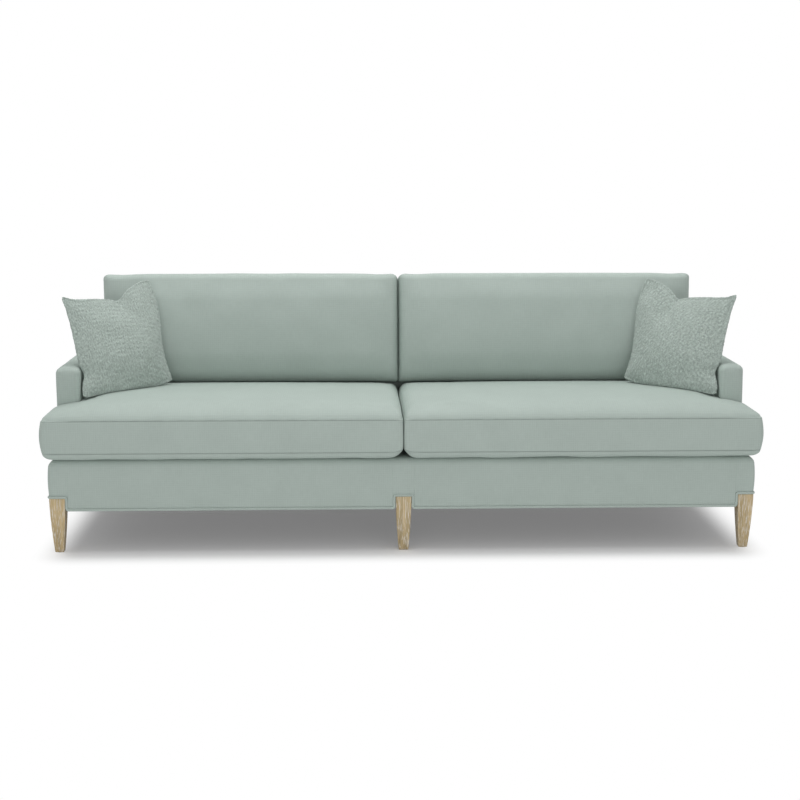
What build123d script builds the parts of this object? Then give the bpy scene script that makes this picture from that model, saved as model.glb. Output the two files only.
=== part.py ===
from build123d import *
import os
from math import cos, radians, sin, sqrt, tan

# A long sofa on six square tapered legs: an upholstered timber frame with low set-back arms,
# two boxed seat cushions whose ears wrap in front of the arms, two loose back cushions and
# two knife-edge throw pillows. X runs to the viewer's right, Y to the back, Z up from the floor.

# Widths, across the sofa
sofa_width = 2440.0  # over the ears of the seat cushions
ear_overhang = 18.0  # an ear past the side of the base
arm_width = 82.0
centre_gap = 2.0  # half the gap between neighbouring cushions
back_cushion_play = 15.0  # from a back cushion to the arm

# Depths, front to back
seat_overhang = 22.0  # the seat cushions past the front of the base
arm_setback = 188.0  # front of the base to the front of an arm
deck_depth = 735.0  # front of the base to the inside back, at deck height
back_thickness = 101.0  # of the upholstered back, at its top
back_rake = 10.0  # of the inside back, in degrees from upright
outside_rake = 6.3  # of the outside back

# Heights
leg_height = 200.0
skirt_drop = 44.0  # the covers hang this far below the leg tops
rail_height = 136.0
arm_rise = 288.0  # arm top above the deck
back_rise = 454.0  # top of the back above the deck

# Timber and sheet goods
rail_thickness = 28.0
post_margin = 12.5  # square front posts are this much wider than the legs below them
back_post_margin = 4.5
centre_rail_width = 40.0
centre_rail_height = 70.0
centre_rail_drop = 12.0  # below the tops of the other rails
arm_post_width = 38.0
arm_post_depth = 60.0
arm_rail_height = 36.0
tack_rail_height = 50.0
tack_rail_lift = 12.0  # above the deck
back_rail_height = 64.0
back_rail_drop = 10.0  # upper back rails below the top board
top_board = 28.0
liner = 2.0  # stiff card behind the outside back
cambric = 1.0  # dust cover below
fabric = 2.0
wadding = 6.0
deck_wadding = 18.0
back_wadding = 12.0
insulator = 2.8  # felt over the springs

# Edges of the upholstery
front_roll = 27.0  # padded edge of the base, front and sides
base_corner = 12.0
arm_roll = 22.0
arm_corner = 14.0
back_roll = 22.0
welt_diameter = 8.0
welt_bend = 6.0
welt_cut = 5.0  # where a bend over a leg is cut off
welt_turn = 3.2  # where a bend at the hem is cut off
welt_gap = 0.7

# Springs and webbing
wire = 4.0
clip_sheet = 1.6
clip_width = 30.0
clip_depth = 16.0
spring_width = 50.0
spring_pitch = 60.0
springs_per_side = 5
spring_margin = 90.0  # first spring from the side of its bay
web_width = 60.0
web_thickness = 3.0
webs_per_side = 5
web_margin = 110.0

# Legs
leg_top = 53.5
leg_foot = 33.0
leg_straight = 22.0  # upper part before the taper
leg_belly = 1.6  # how far the taper swells past a straight line
leg_inset = 1.5  # faces of the leg inside the faces of the base
leg_room = 2.0  # between a leg and the welt beside it
neck_size = 38.0
glide_diameter = 24.0
glide_thickness = 4.0
nail_diameter = 3.0
nail_length = 16.0
bolt_diameter = 8.0
bolt_in_leg = 50.0
bolt_in_post = 20.0
insert_diameter = 14.0
insert_length = 22.0
insert_play = 0.2
flats = 12  # small round fastenings are cut with this many flats

# Seat cushions
boxing_lift = 26.0  # lower seam above the deck
boxing_height = 111.0
shoulder_rise = 38.0
crown_rise = 9.0
seat_shoulder = 100.0  # width of the rolled shoulder
seat_ease = 35.0  # width of the eased lower edge
seat_corner = 24.0
ear_corner = 12.0  # at the arm
boxing_bulge = 4.0  # seams behind the face of the boxing
cushion_play = 2.0  # to the arm and the inside back
soft_play = 0.4  # between soft pieces that rest on each other
seat_wrap = 20.0  # fibre round the sides of the foam
seat_core_lift = 10.0  # foam above the deck
seat_core_rise = 6.0  # top of the foam above the upper seam
crown_lead = 3.0  # the crown front to back, over the crown side to side

# Back cushions
back_cushion_height = 412.0
back_cushion_thickness = 205.0
back_cushion_sink = 30.0  # heel of the cushion below the shoulder of the seat
back_cushion_boxing = 95.0
back_cushion_heel = 45.0  # rear seam in front of the inside back
back_cushion_crown = 17.0
back_cushion_shoulder = 70.0
back_cushion_ease = 40.0
back_cushion_corner = 20.0
back_cushion_draw = 7.0  # sides drawn in between the corners
back_wrap = 28.0  # fibre round the edges of the filling
back_core_gap = 22.0  # filling in front of the inside back
back_core_lift = 50.0  # filling above the heel

# Throw pillows
pillow_width = 412.0
pillow_height = 400.0  # up to its higher corner
pillow_low_corner = 365.0  # up to the corner over the arm
pillow_lean_in = 14.0  # higher corner from the full width
pillow_heel = (12.0, 20.0)  # lower corners, left by the seat under them
pillow_thickness = 150.0
pillow_edge = 9.0  # thickness along the knife edge
pillow_draw = 7.0  # sides drawn in between the corners
pillow_yaw = 50.0
pillow_lean = 15.0
pillow_arm_play = 28.0
pillow_setback = 17.0  # lower front corner behind the front of the arm
pillow_sink = 2.0  # lower edge below the shoulder of the seat, before the seat shapes it
pillow_wrap = 30.0  # flat sewn border round the filling
pillow_core_lip = 4.0  # half the filling's thickness at its edge
chop_depth = 69.0
chop_place = 0.546  # along the top edge from the outer corner

# Places worked out from the sizes above
half_base = sofa_width / 2 - ear_overhang
arm_inside = half_base - arm_width
skirt_edge = leg_height - skirt_drop
rail_top = skirt_edge + rail_height
spring_top = rail_top + 2 * clip_sheet + wire
deck_height = spring_top + insulator + deck_wadding + fabric
arm_height = deck_height + arm_rise
back_height = deck_height + back_rise
inset = fabric + wadding
back_inset = fabric + back_wadding + web_thickness
rear_inset = fabric + liner
post_size = leg_top + post_margin
back_post_width = leg_top + back_post_margin
sofa_depth = seat_overhang + deck_depth + back_rise * tan(radians(back_rake)) + back_thickness
seat_front = -sofa_depth / 2
base_front = seat_front + seat_overhang
arm_front = base_front + arm_setback
inside_back = base_front + deck_depth
welt = welt_diameter / 2
notch = leg_inset + leg_top + leg_room + welt_diameter
post_inner = half_base - inset - post_size
back_post_inner = half_base - inset - back_post_width
far = 60.0  # how far a cutting shape runs past what it cuts
wall_reach = 2 * inset + 2 * fabric  # a cut that takes one padded wall and nothing behind it
sides = (("left", -1), ("right", 1))


def inside_y(z):
    """Where the raked inside back stands at a height."""
    return inside_back + (z - deck_height) * tan(radians(back_rake))


def outside_y(z):
    """Where the raked outside back stands; its rolled top edge just reaches half the depth."""
    slope = radians(outside_rake)
    rolled = sofa_depth / 2 + back_roll * (1 / cos(slope) - 1)
    return rolled + (z - (back_height - back_roll)) * tan(slope)


def span(side, near, off):
    """An x range on one side of the sofa, given as distances from its middle."""
    return tuple(sorted((side * near, side * off)))


def keep(part, name):
    """Labels a finished piece and writes it."""
    part.label = name
    export_step(part, f"parts/{name}.step")


def board(x_span, y_span, z_span):
    """A straight board or sheet that fills three ranges."""
    with BuildPart() as piece:
        with BuildSketch(Plane.XY.offset(z_span[0])):
            with Locations((sum(x_span) / 2, sum(y_span) / 2)):
                Rectangle(x_span[1] - x_span[0], y_span[1] - y_span[0])
        extrude(amount=z_span[1] - z_span[0])
    return piece.part


def raked_board(x_span, outline):
    """A piece cut to a side outline of (y, z) points, as wide as its x range."""
    with BuildPart() as piece:
        with BuildSketch(Plane.YZ.offset(x_span[0])):
            with BuildLine():
                Polyline(*outline, close=True)
            make_face()
        extrude(amount=x_span[1] - x_span[0])
    return piece.part


def inside_layer(x_span, z_span, near, off):
    """A slab parallel to the inside back, between two distances behind it."""
    low, high = z_span
    outline = (
        (inside_y(low) + near, low),
        (inside_y(low) + off, low),
        (inside_y(high) + off, high),
        (inside_y(high) + near, high),
    )
    return raked_board(x_span, outline)


def outside_layer(x_span, z_span, near, off):
    """A slab parallel to the outside back, between two distances in front of it."""
    low, high = z_span
    outline = (
        (outside_y(low) - off, low),
        (outside_y(low) - near, low),
        (outside_y(high) - near, high),
        (outside_y(high) - off, high),
    )
    return raked_board(x_span, outline)


def joined(*parts):
    """Several separate solids as one piece's group."""
    return Compound(children=list(parts))


def shell(outer, inner):
    """What lies between two forms of the same upholstered shape."""
    with BuildPart() as piece:
        add(outer)
        add(inner, mode=Mode.SUBTRACT)
    return piece.part


def common(first, second):
    with BuildPart() as piece:
        add(first)
        add(second, mode=Mode.INTERSECT)
    return piece.part


# Upholstered forms: the outer surface, or the same surface moved inwards by a depth


def front_form(depth):
    """Front of the base: rolled top edge and mitred corners, open behind and below when inset."""
    low = skirt_edge - (far if depth else 0)
    rear = arm_front + (far if depth else 0)
    half = half_base - depth
    front = base_front + depth
    top = deck_height - depth
    roll = front_roll - depth
    with BuildPart() as form:
        with BuildSketch(Plane.XY.offset(low)):
            with Locations((0, (front + rear) / 2)):
                Rectangle(2 * half, rear - front)
            if base_corner > depth:
                fillet(vertices().group_by(Axis.Y)[0], base_corner - depth)
        extrude(amount=top - low)
        with BuildSketch(Plane.YZ.offset(-half - far)):
            with Locations(((front + rear) / 2, (low + top) / 2)):
                Rectangle(rear - front, top - low)
            fillet(vertices().group_by(Axis.Y)[-1].sort_by(Axis.X)[0], roll)
        extrude(amount=2 * (half + far), mode=Mode.INTERSECT)
        with BuildSketch(Plane.XZ.offset(-rear)):
            with Locations((0, (low + top) / 2)):
                Rectangle(2 * half, top - low)
            fillet(vertices().group_by(Axis.Y)[-1], roll)
        extrude(amount=rear - front, mode=Mode.INTERSECT)
    return form.part


def arm_form(side, depth):
    """One arm: a slim box with rolled edges that dies into the raked back."""
    low = skirt_edge - (far if depth else 0)
    top = arm_height - depth
    front = arm_front + depth
    x_low, x_high = span(side, arm_inside + depth, half_base - depth)
    rear = inside_y(top) + far
    with BuildPart() as form:
        with BuildSketch(Plane.YZ.offset(x_low)):
            with BuildLine():
                Polyline((front, low), (front, top), (inside_y(top), top), (inside_y(low), low), close=True)
            make_face()
            fillet(vertices().sort_by_distance((front, top))[0], arm_roll - depth)
        extrude(amount=x_high - x_low)
        with BuildSketch(Plane.XY.offset(low)):
            with Locations(((x_low + x_high) / 2, (front + rear) / 2)):
                Rectangle(x_high - x_low, rear - front)
            if arm_corner > depth:
                fillet(vertices().group_by(Axis.Y)[0], arm_corner - depth)
        extrude(amount=top - low, mode=Mode.INTERSECT)
        add(arm_tunnel(side, depth, front, rear), mode=Mode.INTERSECT)
    return form.part


def arm_tunnel(side, depth, front, rear):
    """The arm's front outline, with rolled top edges, carried from front to back."""
    low = skirt_edge - far
    top = arm_height - depth
    x_low, x_high = span(side, arm_inside + depth, half_base - depth)
    with BuildPart() as tunnel:
        with BuildSketch(Plane.XZ.offset(-rear)):
            with Locations(((x_low + x_high) / 2, (low + top) / 2)):
                Rectangle(x_high - x_low, top - low)
            fillet(vertices().group_by(Axis.Y)[-1], arm_roll - depth)
        extrude(amount=rear - front)
    return tunnel.part


def back_form(depth):
    """The raked back, full width, with rolled top edges and open below when inset."""
    low = skirt_edge - (far if depth else 0)
    top = back_height - depth
    half = half_base - depth
    rear = outside_y(top) + far
    with BuildPart() as form:
        with BuildSketch(Plane.YZ.offset(-half)):
            with BuildLine():
                Polyline(
                    (inside_y(low) + depth, low),
                    (inside_y(top) + depth, top),
                    (outside_y(top) - depth, top),
                    (outside_y(low) - depth, low),
                    close=True,
                )
            make_face()
            fillet(vertices().group_by(Axis.Y)[-1], back_roll - depth)
        extrude(amount=2 * half)
        with BuildSketch(Plane.XZ.offset(-rear)):
            with Locations((0, (low + top) / 2)):
                Rectangle(2 * half, top - low)
            fillet(vertices().group_by(Axis.Y)[-1], back_roll - depth)
        extrude(amount=rear - inside_y(low), mode=Mode.INTERSECT)
    return form.part


# Legs stand in notches of the skirt, three along the front and three along the back

leg_x = half_base - leg_inset - leg_top / 2
front_leg_y = base_front + leg_inset + leg_top / 2
rear_leg_y = outside_y(leg_height) - leg_inset - leg_top / 2
leg_spots = {
    "front_leg_left": (-leg_x, front_leg_y),
    "front_leg_middle": (0, front_leg_y),
    "front_leg_right": (leg_x, front_leg_y),
    "rear_leg_left": (-leg_x, rear_leg_y),
    "rear_leg_middle": (0, rear_leg_y),
    "rear_leg_right": (leg_x, rear_leg_y),
}


def notch_cutter(plane, low, high, amount):
    """Clears one wall of the skirt over a leg, with rounded upper corners for the welt to follow."""
    floor = skirt_edge - far
    with BuildPart() as cutter:
        with BuildSketch(plane):
            with Locations(((low + high) / 2, (floor + leg_height) / 2)):
                Rectangle(high - low, leg_height - floor)
            fillet(vertices().group_by(Axis.Y)[-1], welt_bend + welt + welt_gap)
        extrude(amount=amount)
    return cutter.part


def row_notches(wall_y, corner_low, corner_high):
    """Clears a skirt over one row of legs: its own wall, from wall_y forwards, and the corners' sides."""
    half_notch = leg_top / 2 + leg_room + welt_diameter
    row = Plane.XZ.offset(-wall_y)
    cutters = [notch_cutter(row, -half_notch, half_notch, wall_reach)]
    for _, side in sides:
        cutters.append(notch_cutter(row, *span(side, half_base - notch, half_base + far), wall_reach))
        wall_x = span(side, half_base - wall_reach / 2, half_base + wall_reach / 2)[0]
        cutters.append(notch_cutter(Plane.YZ.offset(wall_x), corner_low, corner_high, wall_reach))
    return cutters


def without(part, cutters):
    with BuildPart() as piece:
        add(part)
        for cutter in cutters:
            add(cutter, mode=Mode.SUBTRACT)
    return piece.part


def leg(x, y):
    """A square leg, straight at the top, tapering in a slow swell to the foot on all four faces."""
    shoulder = leg_height - welt_diameter - 2 * welt_gap
    taper_top = leg_height - leg_straight
    half_top, half_foot = leg_top / 2, leg_foot / 2
    middle = ((half_top + half_foot) / 2 + leg_belly, (taper_top + glide_thickness) / 2)
    with BuildPart() as piece:
        for plane in (Plane.XZ.offset(-y - half_top), Plane.YZ.offset(x - half_top)):
            across = x if plane.z_dir.Y else y
            with BuildSketch(plane):
                with BuildLine():
                    for way in (-1, 1):
                        ThreePointArc(
                            (across + way * half_foot, glide_thickness),
                            (across + way * middle[0], middle[1]),
                            (across + way * half_top, taper_top),
                        )
                        Line((across + way * half_top, taper_top), (across + way * half_top, shoulder))
                    Line((across - half_top, shoulder), (across + half_top, shoulder))
                    Line((across - half_foot, glide_thickness), (across + half_foot, glide_thickness))
                make_face()
            extrude(amount=leg_top, mode=Mode.INTERSECT if piece.part else Mode.ADD)
        with BuildSketch(Plane.XY.offset(shoulder)):
            with Locations((x, y)):
                Rectangle(neck_size, neck_size)
        extrude(amount=leg_height - shoulder)
        add(rods(bolt_diameter, leg_height - bolt_in_leg, leg_height, [(x, y)]), mode=Mode.SUBTRACT)
        add(rods(nail_diameter, glide_thickness, glide_thickness + nail_length, [(x, y)]), mode=Mode.SUBTRACT)
    return piece.part


def rods(diameter, low, high, spots):
    """Small round rods standing at several spots."""
    with BuildPart() as group:
        with BuildSketch(Plane.XY.offset(low)):
            with Locations(*spots):
                RegularPolygon(diameter / 2, flats)
        extrude(amount=high - low)
    return group.part


def drilled(part, x, y):
    """A post with the blind hole for its threaded insert."""
    return without(part, [rods(insert_diameter, leg_height, leg_height + insert_length, [(x, y)])])


# Cushions: an outline cut across by a boxed profile both ways; pillows by a lens both ways


def boxed_profile(plane, a_span, levels, ease, shoulder, reach):
    """Carries a boxed cushion's section along: flat below, swelling boxing, rolled shoulders, crown."""
    a_low, a_high = a_span
    bottom, seam_low, seam_high, rolled, crown = levels
    round_off = 1 - sqrt(0.5)
    with BuildPart() as block:
        with BuildSketch(plane):
            with BuildLine():
                Line((a_low + ease, bottom), (a_high - ease, bottom))
                for edge, way in ((a_low, -1), (a_high, 1)):
                    seam = edge - way * boxing_bulge
                    ThreePointArc(
                        (edge - way * ease, bottom),
                        (seam - way * (ease - boxing_bulge) * round_off, bottom + (seam_low - bottom) * round_off),
                        (seam, seam_low),
                    )
                    swell = edge + way * boxing_bulge / 3
                    ThreePointArc((seam, seam_low), (swell, (seam_low + seam_high) / 2), (seam, seam_high))
                    ThreePointArc(
                        (seam, seam_high),
                        (edge - way * 0.35 * shoulder, seam_high + 0.65 * (rolled - seam_high)),
                        (edge - way * shoulder, rolled),
                    )
                ThreePointArc(
                    (a_low + shoulder, rolled), ((a_low + a_high) / 2, crown), (a_high - shoulder, rolled)
                )
            make_face()
        extrude(amount=reach)
    return block.part


def higher(levels):
    """The same levels with the crown a little higher, so that two crossing crowns never just touch."""
    return (*levels[:-1], levels[-1] + crown_lead)


def lens_profile(plane, a_high, half, reach):
    """Carries a pillow's section along: two shallow arcs that nearly meet at the sewn edges."""
    edge = pillow_edge / 2
    with BuildPart() as block:
        with BuildSketch(plane):
            with BuildLine():
                for way in (-1, 1):
                    ThreePointArc((0, way * edge), (a_high / 2, way * half), (a_high, way * edge))
                Line((0, -edge), (0, edge))
                Line((a_high, -edge), (a_high, edge))
            make_face()
        extrude(amount=reach)
    return block.part


def wedge_profile(plane, a_high, half, reach):
    """Carries a filling's section along: thin edges, a sloping border and a level middle."""
    outline = []
    for way in (-1, 1):
        slope = [(pillow_wrap, way * pillow_core_lip), (0.3 * a_high, way * 0.8 * half)]
        run = slope + [(a_high - a, r) for a, r in reversed(slope)]
        outline += run[::-way]
    with BuildPart() as block:
        with BuildSketch(plane):
            with BuildLine():
                Polyline(*outline, close=True)
            make_face()
        extrude(amount=reach)
    return block.part


def cross_plane(lie):
    """The plane across a cushion that lies on a plane: its own x, and up out of it."""
    return Plane(origin=lie.origin, x_dir=lie.x_dir, z_dir=-lie.y_dir)


def long_plane(lie):
    """The plane along a cushion that lies on a plane: its own y, and up out of it."""
    return Plane(origin=lie.origin, x_dir=lie.y_dir, z_dir=lie.x_dir)


seam_low = deck_height + boxing_lift
seam_high = seam_low + boxing_height
seat_rolled = seam_high + shoulder_rise
seat_crown = seat_rolled + crown_rise
seat_rear = inside_back - cushion_play


def seat_form(depth):
    """The right-hand seat cushion: an L in plan, whose ear stands in front of the arm."""
    front, rear = seat_front + depth, seat_rear - depth
    inner, outer = centre_gap + depth, sofa_width / 2 - depth
    arm_x = arm_inside - cushion_play - depth
    ear_y = arm_front - cushion_play - depth
    levels = (
        deck_height + soft_play + depth,
        seam_low,
        seam_high,
        seat_rolled - depth,
        seat_crown - depth,
    )
    with BuildPart() as form:
        with BuildSketch(Plane.XY.offset(deck_height - far)):
            with BuildLine():
                Polyline(
                    (inner, front), (outer, front), (outer, ear_y), (arm_x, ear_y), (arm_x, rear), (inner, rear),
                    close=True,
                )
            make_face()
            fillet(vertices().group_by(Axis.Y)[0], seat_corner)
            fillet(vertices().sort_by_distance((outer, ear_y))[0], ear_corner)
        extrude(amount=seat_crown - deck_height + 2 * far)
        cross = boxed_profile(
            Plane.XZ.offset(-rear - far), (inner, outer), levels, seat_ease, seat_shoulder, rear - front + 2 * far
        )
        add(cross, mode=Mode.INTERSECT)
        along = boxed_profile(
            Plane.YZ.offset(-far), (front, rear), higher(levels), seat_ease, seat_shoulder, outer + 2 * far
        )
        add(along, mode=Mode.INTERSECT)
    return form.part


def seat_core():
    """The foam inside a seat cushion: the same L, cut square."""
    inner, outer = centre_gap + seat_wrap, sofa_width / 2 - seat_wrap
    arm_x = arm_inside - cushion_play - seat_wrap
    front, rear = seat_front + seat_wrap, seat_rear - seat_wrap
    ear_y = arm_front - cushion_play - seat_wrap
    low, high = deck_height + seat_core_lift, seam_high + seat_core_rise
    with BuildPart() as core:
        with BuildSketch(Plane.XY.offset(low)):
            with BuildLine():
                Polyline(
                    (inner, front), (outer, front), (outer, ear_y), (arm_x, ear_y), (arm_x, rear), (inner, rear),
                    close=True,
                )
            make_face()
        extrude(amount=high - low)
    return core.part


back_out = Vector(0, -cos(radians(back_rake)), sin(radians(back_rake)))
heel_height = seat_rolled - back_cushion_sink
back_plane = Plane(origin=(0, inside_y(heel_height), heel_height), x_dir=(1, 0, 0), z_dir=back_out)
back_outer = arm_inside - back_cushion_play


def back_cushion_form():
    """The right-hand back cushion on the raked back, flat below where it stands on the seat's crown."""
    inner, outer = centre_gap, back_outer
    high = back_cushion_height
    levels = (
        soft_play,
        back_cushion_heel,
        back_cushion_heel + back_cushion_boxing,
        back_cushion_thickness - back_cushion_crown,
        back_cushion_thickness,
    )
    with BuildPart() as form:
        with BuildSketch(back_plane.offset(-far)):
            with BuildLine():
                Line((inner, 0), (outer, 0))
                ThreePointArc((outer, 0), (outer - back_cushion_draw, high / 2), (outer, high))
                Line((outer, high), (inner, high))
                ThreePointArc((inner, high), (inner + back_cushion_draw, high / 2), (inner, 0))
            make_face()
            fillet(vertices().group_by(Axis.Y)[-1], back_cushion_corner)
        extrude(amount=back_cushion_thickness + 2 * far)
        cross = boxed_profile(
            cross_plane(back_plane).offset(far),
            (inner, outer),
            levels,
            back_cushion_ease,
            back_cushion_shoulder,
            -high - 2 * far,
        )
        add(cross, mode=Mode.INTERSECT)
        along = boxed_profile(
            long_plane(back_plane).offset(-far),
            (0, high),
            higher(levels),
            back_cushion_ease,
            back_cushion_shoulder,
            outer + 2 * far,
        )
        add(along, mode=Mode.INTERSECT)
        seat_room = board(
            (-far, outer + far), (seat_front, inside_y(seat_crown) + far), (deck_height, seat_crown + soft_play)
        )
        add(seat_room, mode=Mode.SUBTRACT)
    return form.part


def back_core():
    """The filling inside a back cushion: a plain block on the same raked plane."""
    inner, outer = centre_gap + back_wrap, back_outer - back_wrap
    low, high = back_core_lift, back_cushion_height - back_wrap
    with BuildPart() as core:
        with BuildSketch(back_plane.offset(back_core_gap)):
            with Locations(((inner + outer) / 2, (low + high) / 2)):
                Rectangle(outer - inner, high - low)
        extrude(amount=back_cushion_heel + back_cushion_boxing - back_core_gap)
    return core.part


pillow_along = Vector(cos(radians(pillow_yaw)), sin(radians(pillow_yaw)), 0)
pillow_level = Vector(sin(radians(pillow_yaw)), -cos(radians(pillow_yaw)), 0)
pillow_face = pillow_level * cos(radians(pillow_lean)) + Vector(0, 0, sin(radians(pillow_lean)))
pillow_plane = Plane(
    origin=(
        -(arm_inside - pillow_arm_play),
        arm_front + pillow_setback,
        seat_rolled - pillow_sink,
    ),
    x_dir=pillow_along,
    z_dir=pillow_face,
)


def pillow_form():
    """The left-hand pillow: a lens both ways, drawn in along its sides, with a chop in its top edge."""
    width, height = pillow_width, pillow_height
    chop = (chop_place * width, height - chop_depth)
    peak = (width - pillow_lean_in, height)
    near, off = (0, pillow_heel[0]), (width, pillow_heel[1])
    swing = ((peak[0] + chop[0]) / 2, (peak[1] + chop[1]) / 2 + pillow_lean_in)
    with BuildPart() as form:
        with BuildSketch(pillow_plane):
            with BuildLine():
                Line(near, off)
                ThreePointArc(off, (width - pillow_draw, height / 2), peak)
                ThreePointArc(peak, swing, chop)
                Line(chop, (0, pillow_low_corner))
                ThreePointArc((0, pillow_low_corner), (pillow_draw, height / 2), near)
            make_face()
        extrude(amount=pillow_thickness, both=True)
        add(pillow_sections(lens_profile), mode=Mode.INTERSECT)
        add(mirrored(seat_form(-soft_play)), mode=Mode.SUBTRACT)
        add(arm_form(-1, -soft_play), mode=Mode.SUBTRACT)
    return form.part


def pillow_core():
    """The filling inside a pillow, clear of the chop."""
    with BuildPart() as core:
        with BuildSketch(pillow_plane):
            with Locations((pillow_width / 2, (pillow_height - chop_depth) / 2)):
                Rectangle(pillow_width - 2 * pillow_wrap, pillow_height - chop_depth - 2 * pillow_wrap)
        extrude(amount=pillow_thickness, both=True)
        add(pillow_sections(wedge_profile), mode=Mode.INTERSECT)
    return core.part


def pillow_sections(profile):
    """One section carried up a pillow and the same section carried across it, where they cross."""
    half = pillow_thickness / 2
    across = cross_plane(pillow_plane).offset(far)
    upright = long_plane(pillow_plane).offset(-far)
    return common(
        profile(across, pillow_width, half, -pillow_height - 2 * far),
        profile(upright, pillow_height, half + crown_lead, pillow_width + 2 * far),
    )


def mirrored(part):
    with BuildPart() as piece:
        mirror(part, about=Plane.YZ)
    return piece.part


os.makedirs("parts", exist_ok=True)

# Base of the frame: rails between posts, with the legs bolted up into the posts

rail_z = (skirt_edge, rail_top)
post_z = (leg_height, rail_top)
front_rail_y = (base_front + inset, base_front + inset + rail_thickness)
front_post_y = (base_front + inset, base_front + inset + post_size)
arm_rail_x = (arm_inside + inset, half_base - inset)

for name, side in sides:
    keep(board(span(side, post_size / 2, post_inner), front_rail_y, rail_z), f"front_rail_{name}")
    rear_rail = outside_layer(
        span(side, back_post_width / 2, back_post_inner), rail_z, inset, inset + rail_thickness
    )
    keep(rear_rail, f"rear_rail_{name}")
    side_rail = raked_board(
        span(side, half_base - inset - rail_thickness, half_base - inset),
        (
            (front_post_y[1], skirt_edge),
            (front_post_y[1], rail_top),
            (inside_y(rail_top) + back_inset, rail_top),
            (inside_y(skirt_edge) + back_inset, skirt_edge),
        ),
    )
    keep(side_rail, f"side_rail_{name}")

front_posts = {
    "left": (-half_base + inset, -post_inner),
    "middle": (-post_size / 2, post_size / 2),
    "right": (post_inner, half_base - inset),
}
top_board_low = back_height - inset - top_board
for name, x_span in front_posts.items():
    post = common(board(x_span, front_post_y, post_z), front_form(inset))
    keep(drilled(post, *leg_spots[f"front_leg_{name}"]), f"front_post_{name}")

back_posts = {
    "left": (-half_base + inset, -back_post_inner),
    "middle": (-back_post_width / 2, back_post_width / 2),
    "right": (back_post_inner, half_base - inset),
}
for name, x_span in back_posts.items():
    post = raked_board(
        x_span,
        (
            (inside_y(leg_height) + back_inset, leg_height),
            (inside_y(top_board_low) + back_inset, top_board_low),
            (outside_y(top_board_low) - rear_inset, top_board_low),
            (outside_y(leg_height) - rear_inset, leg_height),
        ),
    )
    keep(drilled(post, *leg_spots[f"rear_leg_{name}"]), f"back_post_{name}")

centre_high = rail_top - centre_rail_drop
centre_low = centre_high - centre_rail_height
centre_rail = raked_board(
    (-centre_rail_width / 2, centre_rail_width / 2),
    (
        (front_post_y[1], centre_low),
        (front_post_y[1], centre_high),
        (inside_y(centre_high) + back_inset, centre_high),
        (inside_y(centre_low) + back_inset, centre_low),
    ),
)
keep(centre_rail, "centre_rail")

# Arms: a post beside the side rail, a top rail back to the back post and a tack rail above the deck

arm_rail_high = arm_height - inset
arm_rail_low = arm_rail_high - arm_rail_height
arm_post_y = (arm_front + inset, arm_front + inset + arm_post_depth)
tack_z = (deck_height + tack_rail_lift, deck_height + tack_rail_lift + tack_rail_height)
tack_rails = []
for name, side in sides:
    padded_arm = arm_form(side, inset)
    arm_post = board(
        span(side, arm_rail_x[0], arm_rail_x[0] + arm_post_width), arm_post_y, (skirt_edge, arm_rail_low)
    )
    keep(common(arm_post, padded_arm), f"arm_post_{name}")
    arm_rail = raked_board(
        span(side, *arm_rail_x),
        (
            (arm_front + arm_roll, arm_rail_low),
            (arm_front + arm_roll, arm_rail_high),
            (inside_y(arm_rail_high) + back_inset, arm_rail_high),
            (inside_y(arm_rail_low) + back_inset, arm_rail_low),
        ),
    )
    long_arm = arm_tunnel(side, inset, arm_front, inside_y(arm_height) + far)
    keep(common(arm_rail, long_arm), f"arm_top_rail_{name}")
    tack_rails.append(
        raked_board(
            span(side, arm_rail_x[0], arm_rail_x[0] + rail_thickness),
            (
                (arm_post_y[1], tack_z[0]),
                (arm_post_y[1], tack_z[1]),
                (inside_y(tack_z[1]) + back_inset, tack_z[1]),
                (inside_y(tack_z[0]) + back_inset, tack_z[0]),
            ),
        )
    )
    pulled_through = board(
        span(side, arm_inside - far, half_base - inset),
        (arm_front - far, inside_y(arm_height)),
        (skirt_edge - far, deck_height - fabric),
    )
    arm_cover = shell(arm_form(side, 0), arm_form(side, fabric))
    keep(without(arm_cover, [pulled_through]), f"arm_cover_{name}")
    arm_pad = common(shell(arm_form(side, fabric), padded_arm), arm_form(side, 0))
    keep(without(arm_pad, [pulled_through]), f"arm_pad_{name}")
keep(joined(*tack_rails), "arm_tack_rails")

# Back: rails and webbing between the posts, a board along the top, wadding, card and cover

upper_high = top_board_low - back_rail_drop
upper_z = (upper_high - back_rail_height, upper_high)
back_rail_at = (back_inset, back_inset + rail_thickness)
bays = [span(side, back_post_width / 2, back_post_inner) for _, side in sides]
keep(joined(*(inside_layer(bay, tack_z, *back_rail_at) for bay in bays)), "back_lower_rails")
keep(joined(*(inside_layer(bay, upper_z, *back_rail_at) for bay in bays)), "back_upper_rails")
top_rail = raked_board(
    (-half_base + inset, half_base - inset),
    (
        (inside_y(top_board_low) + back_inset, top_board_low),
        (inside_y(top_board_low + top_board) + back_inset, top_board_low + top_board),
        (outside_y(top_board_low + top_board) - rear_inset, top_board_low + top_board),
        (outside_y(top_board_low) - rear_inset, top_board_low),
    ),
)
keep(common(top_rail, back_form(inset)), "back_top_rail")

webs = []
for bay in bays:
    room = bay[1] - bay[0] - 2 * web_margin
    for number in range(webs_per_side):
        middle = bay[0] + web_margin + room * number / (webs_per_side - 1)
        strip = (middle - web_width / 2, middle + web_width / 2)
        webs.append(inside_layer(strip, (tack_z[0], upper_z[1]), back_inset - web_thickness, back_inset))
keep(joined(*webs), "back_webbing")

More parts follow.
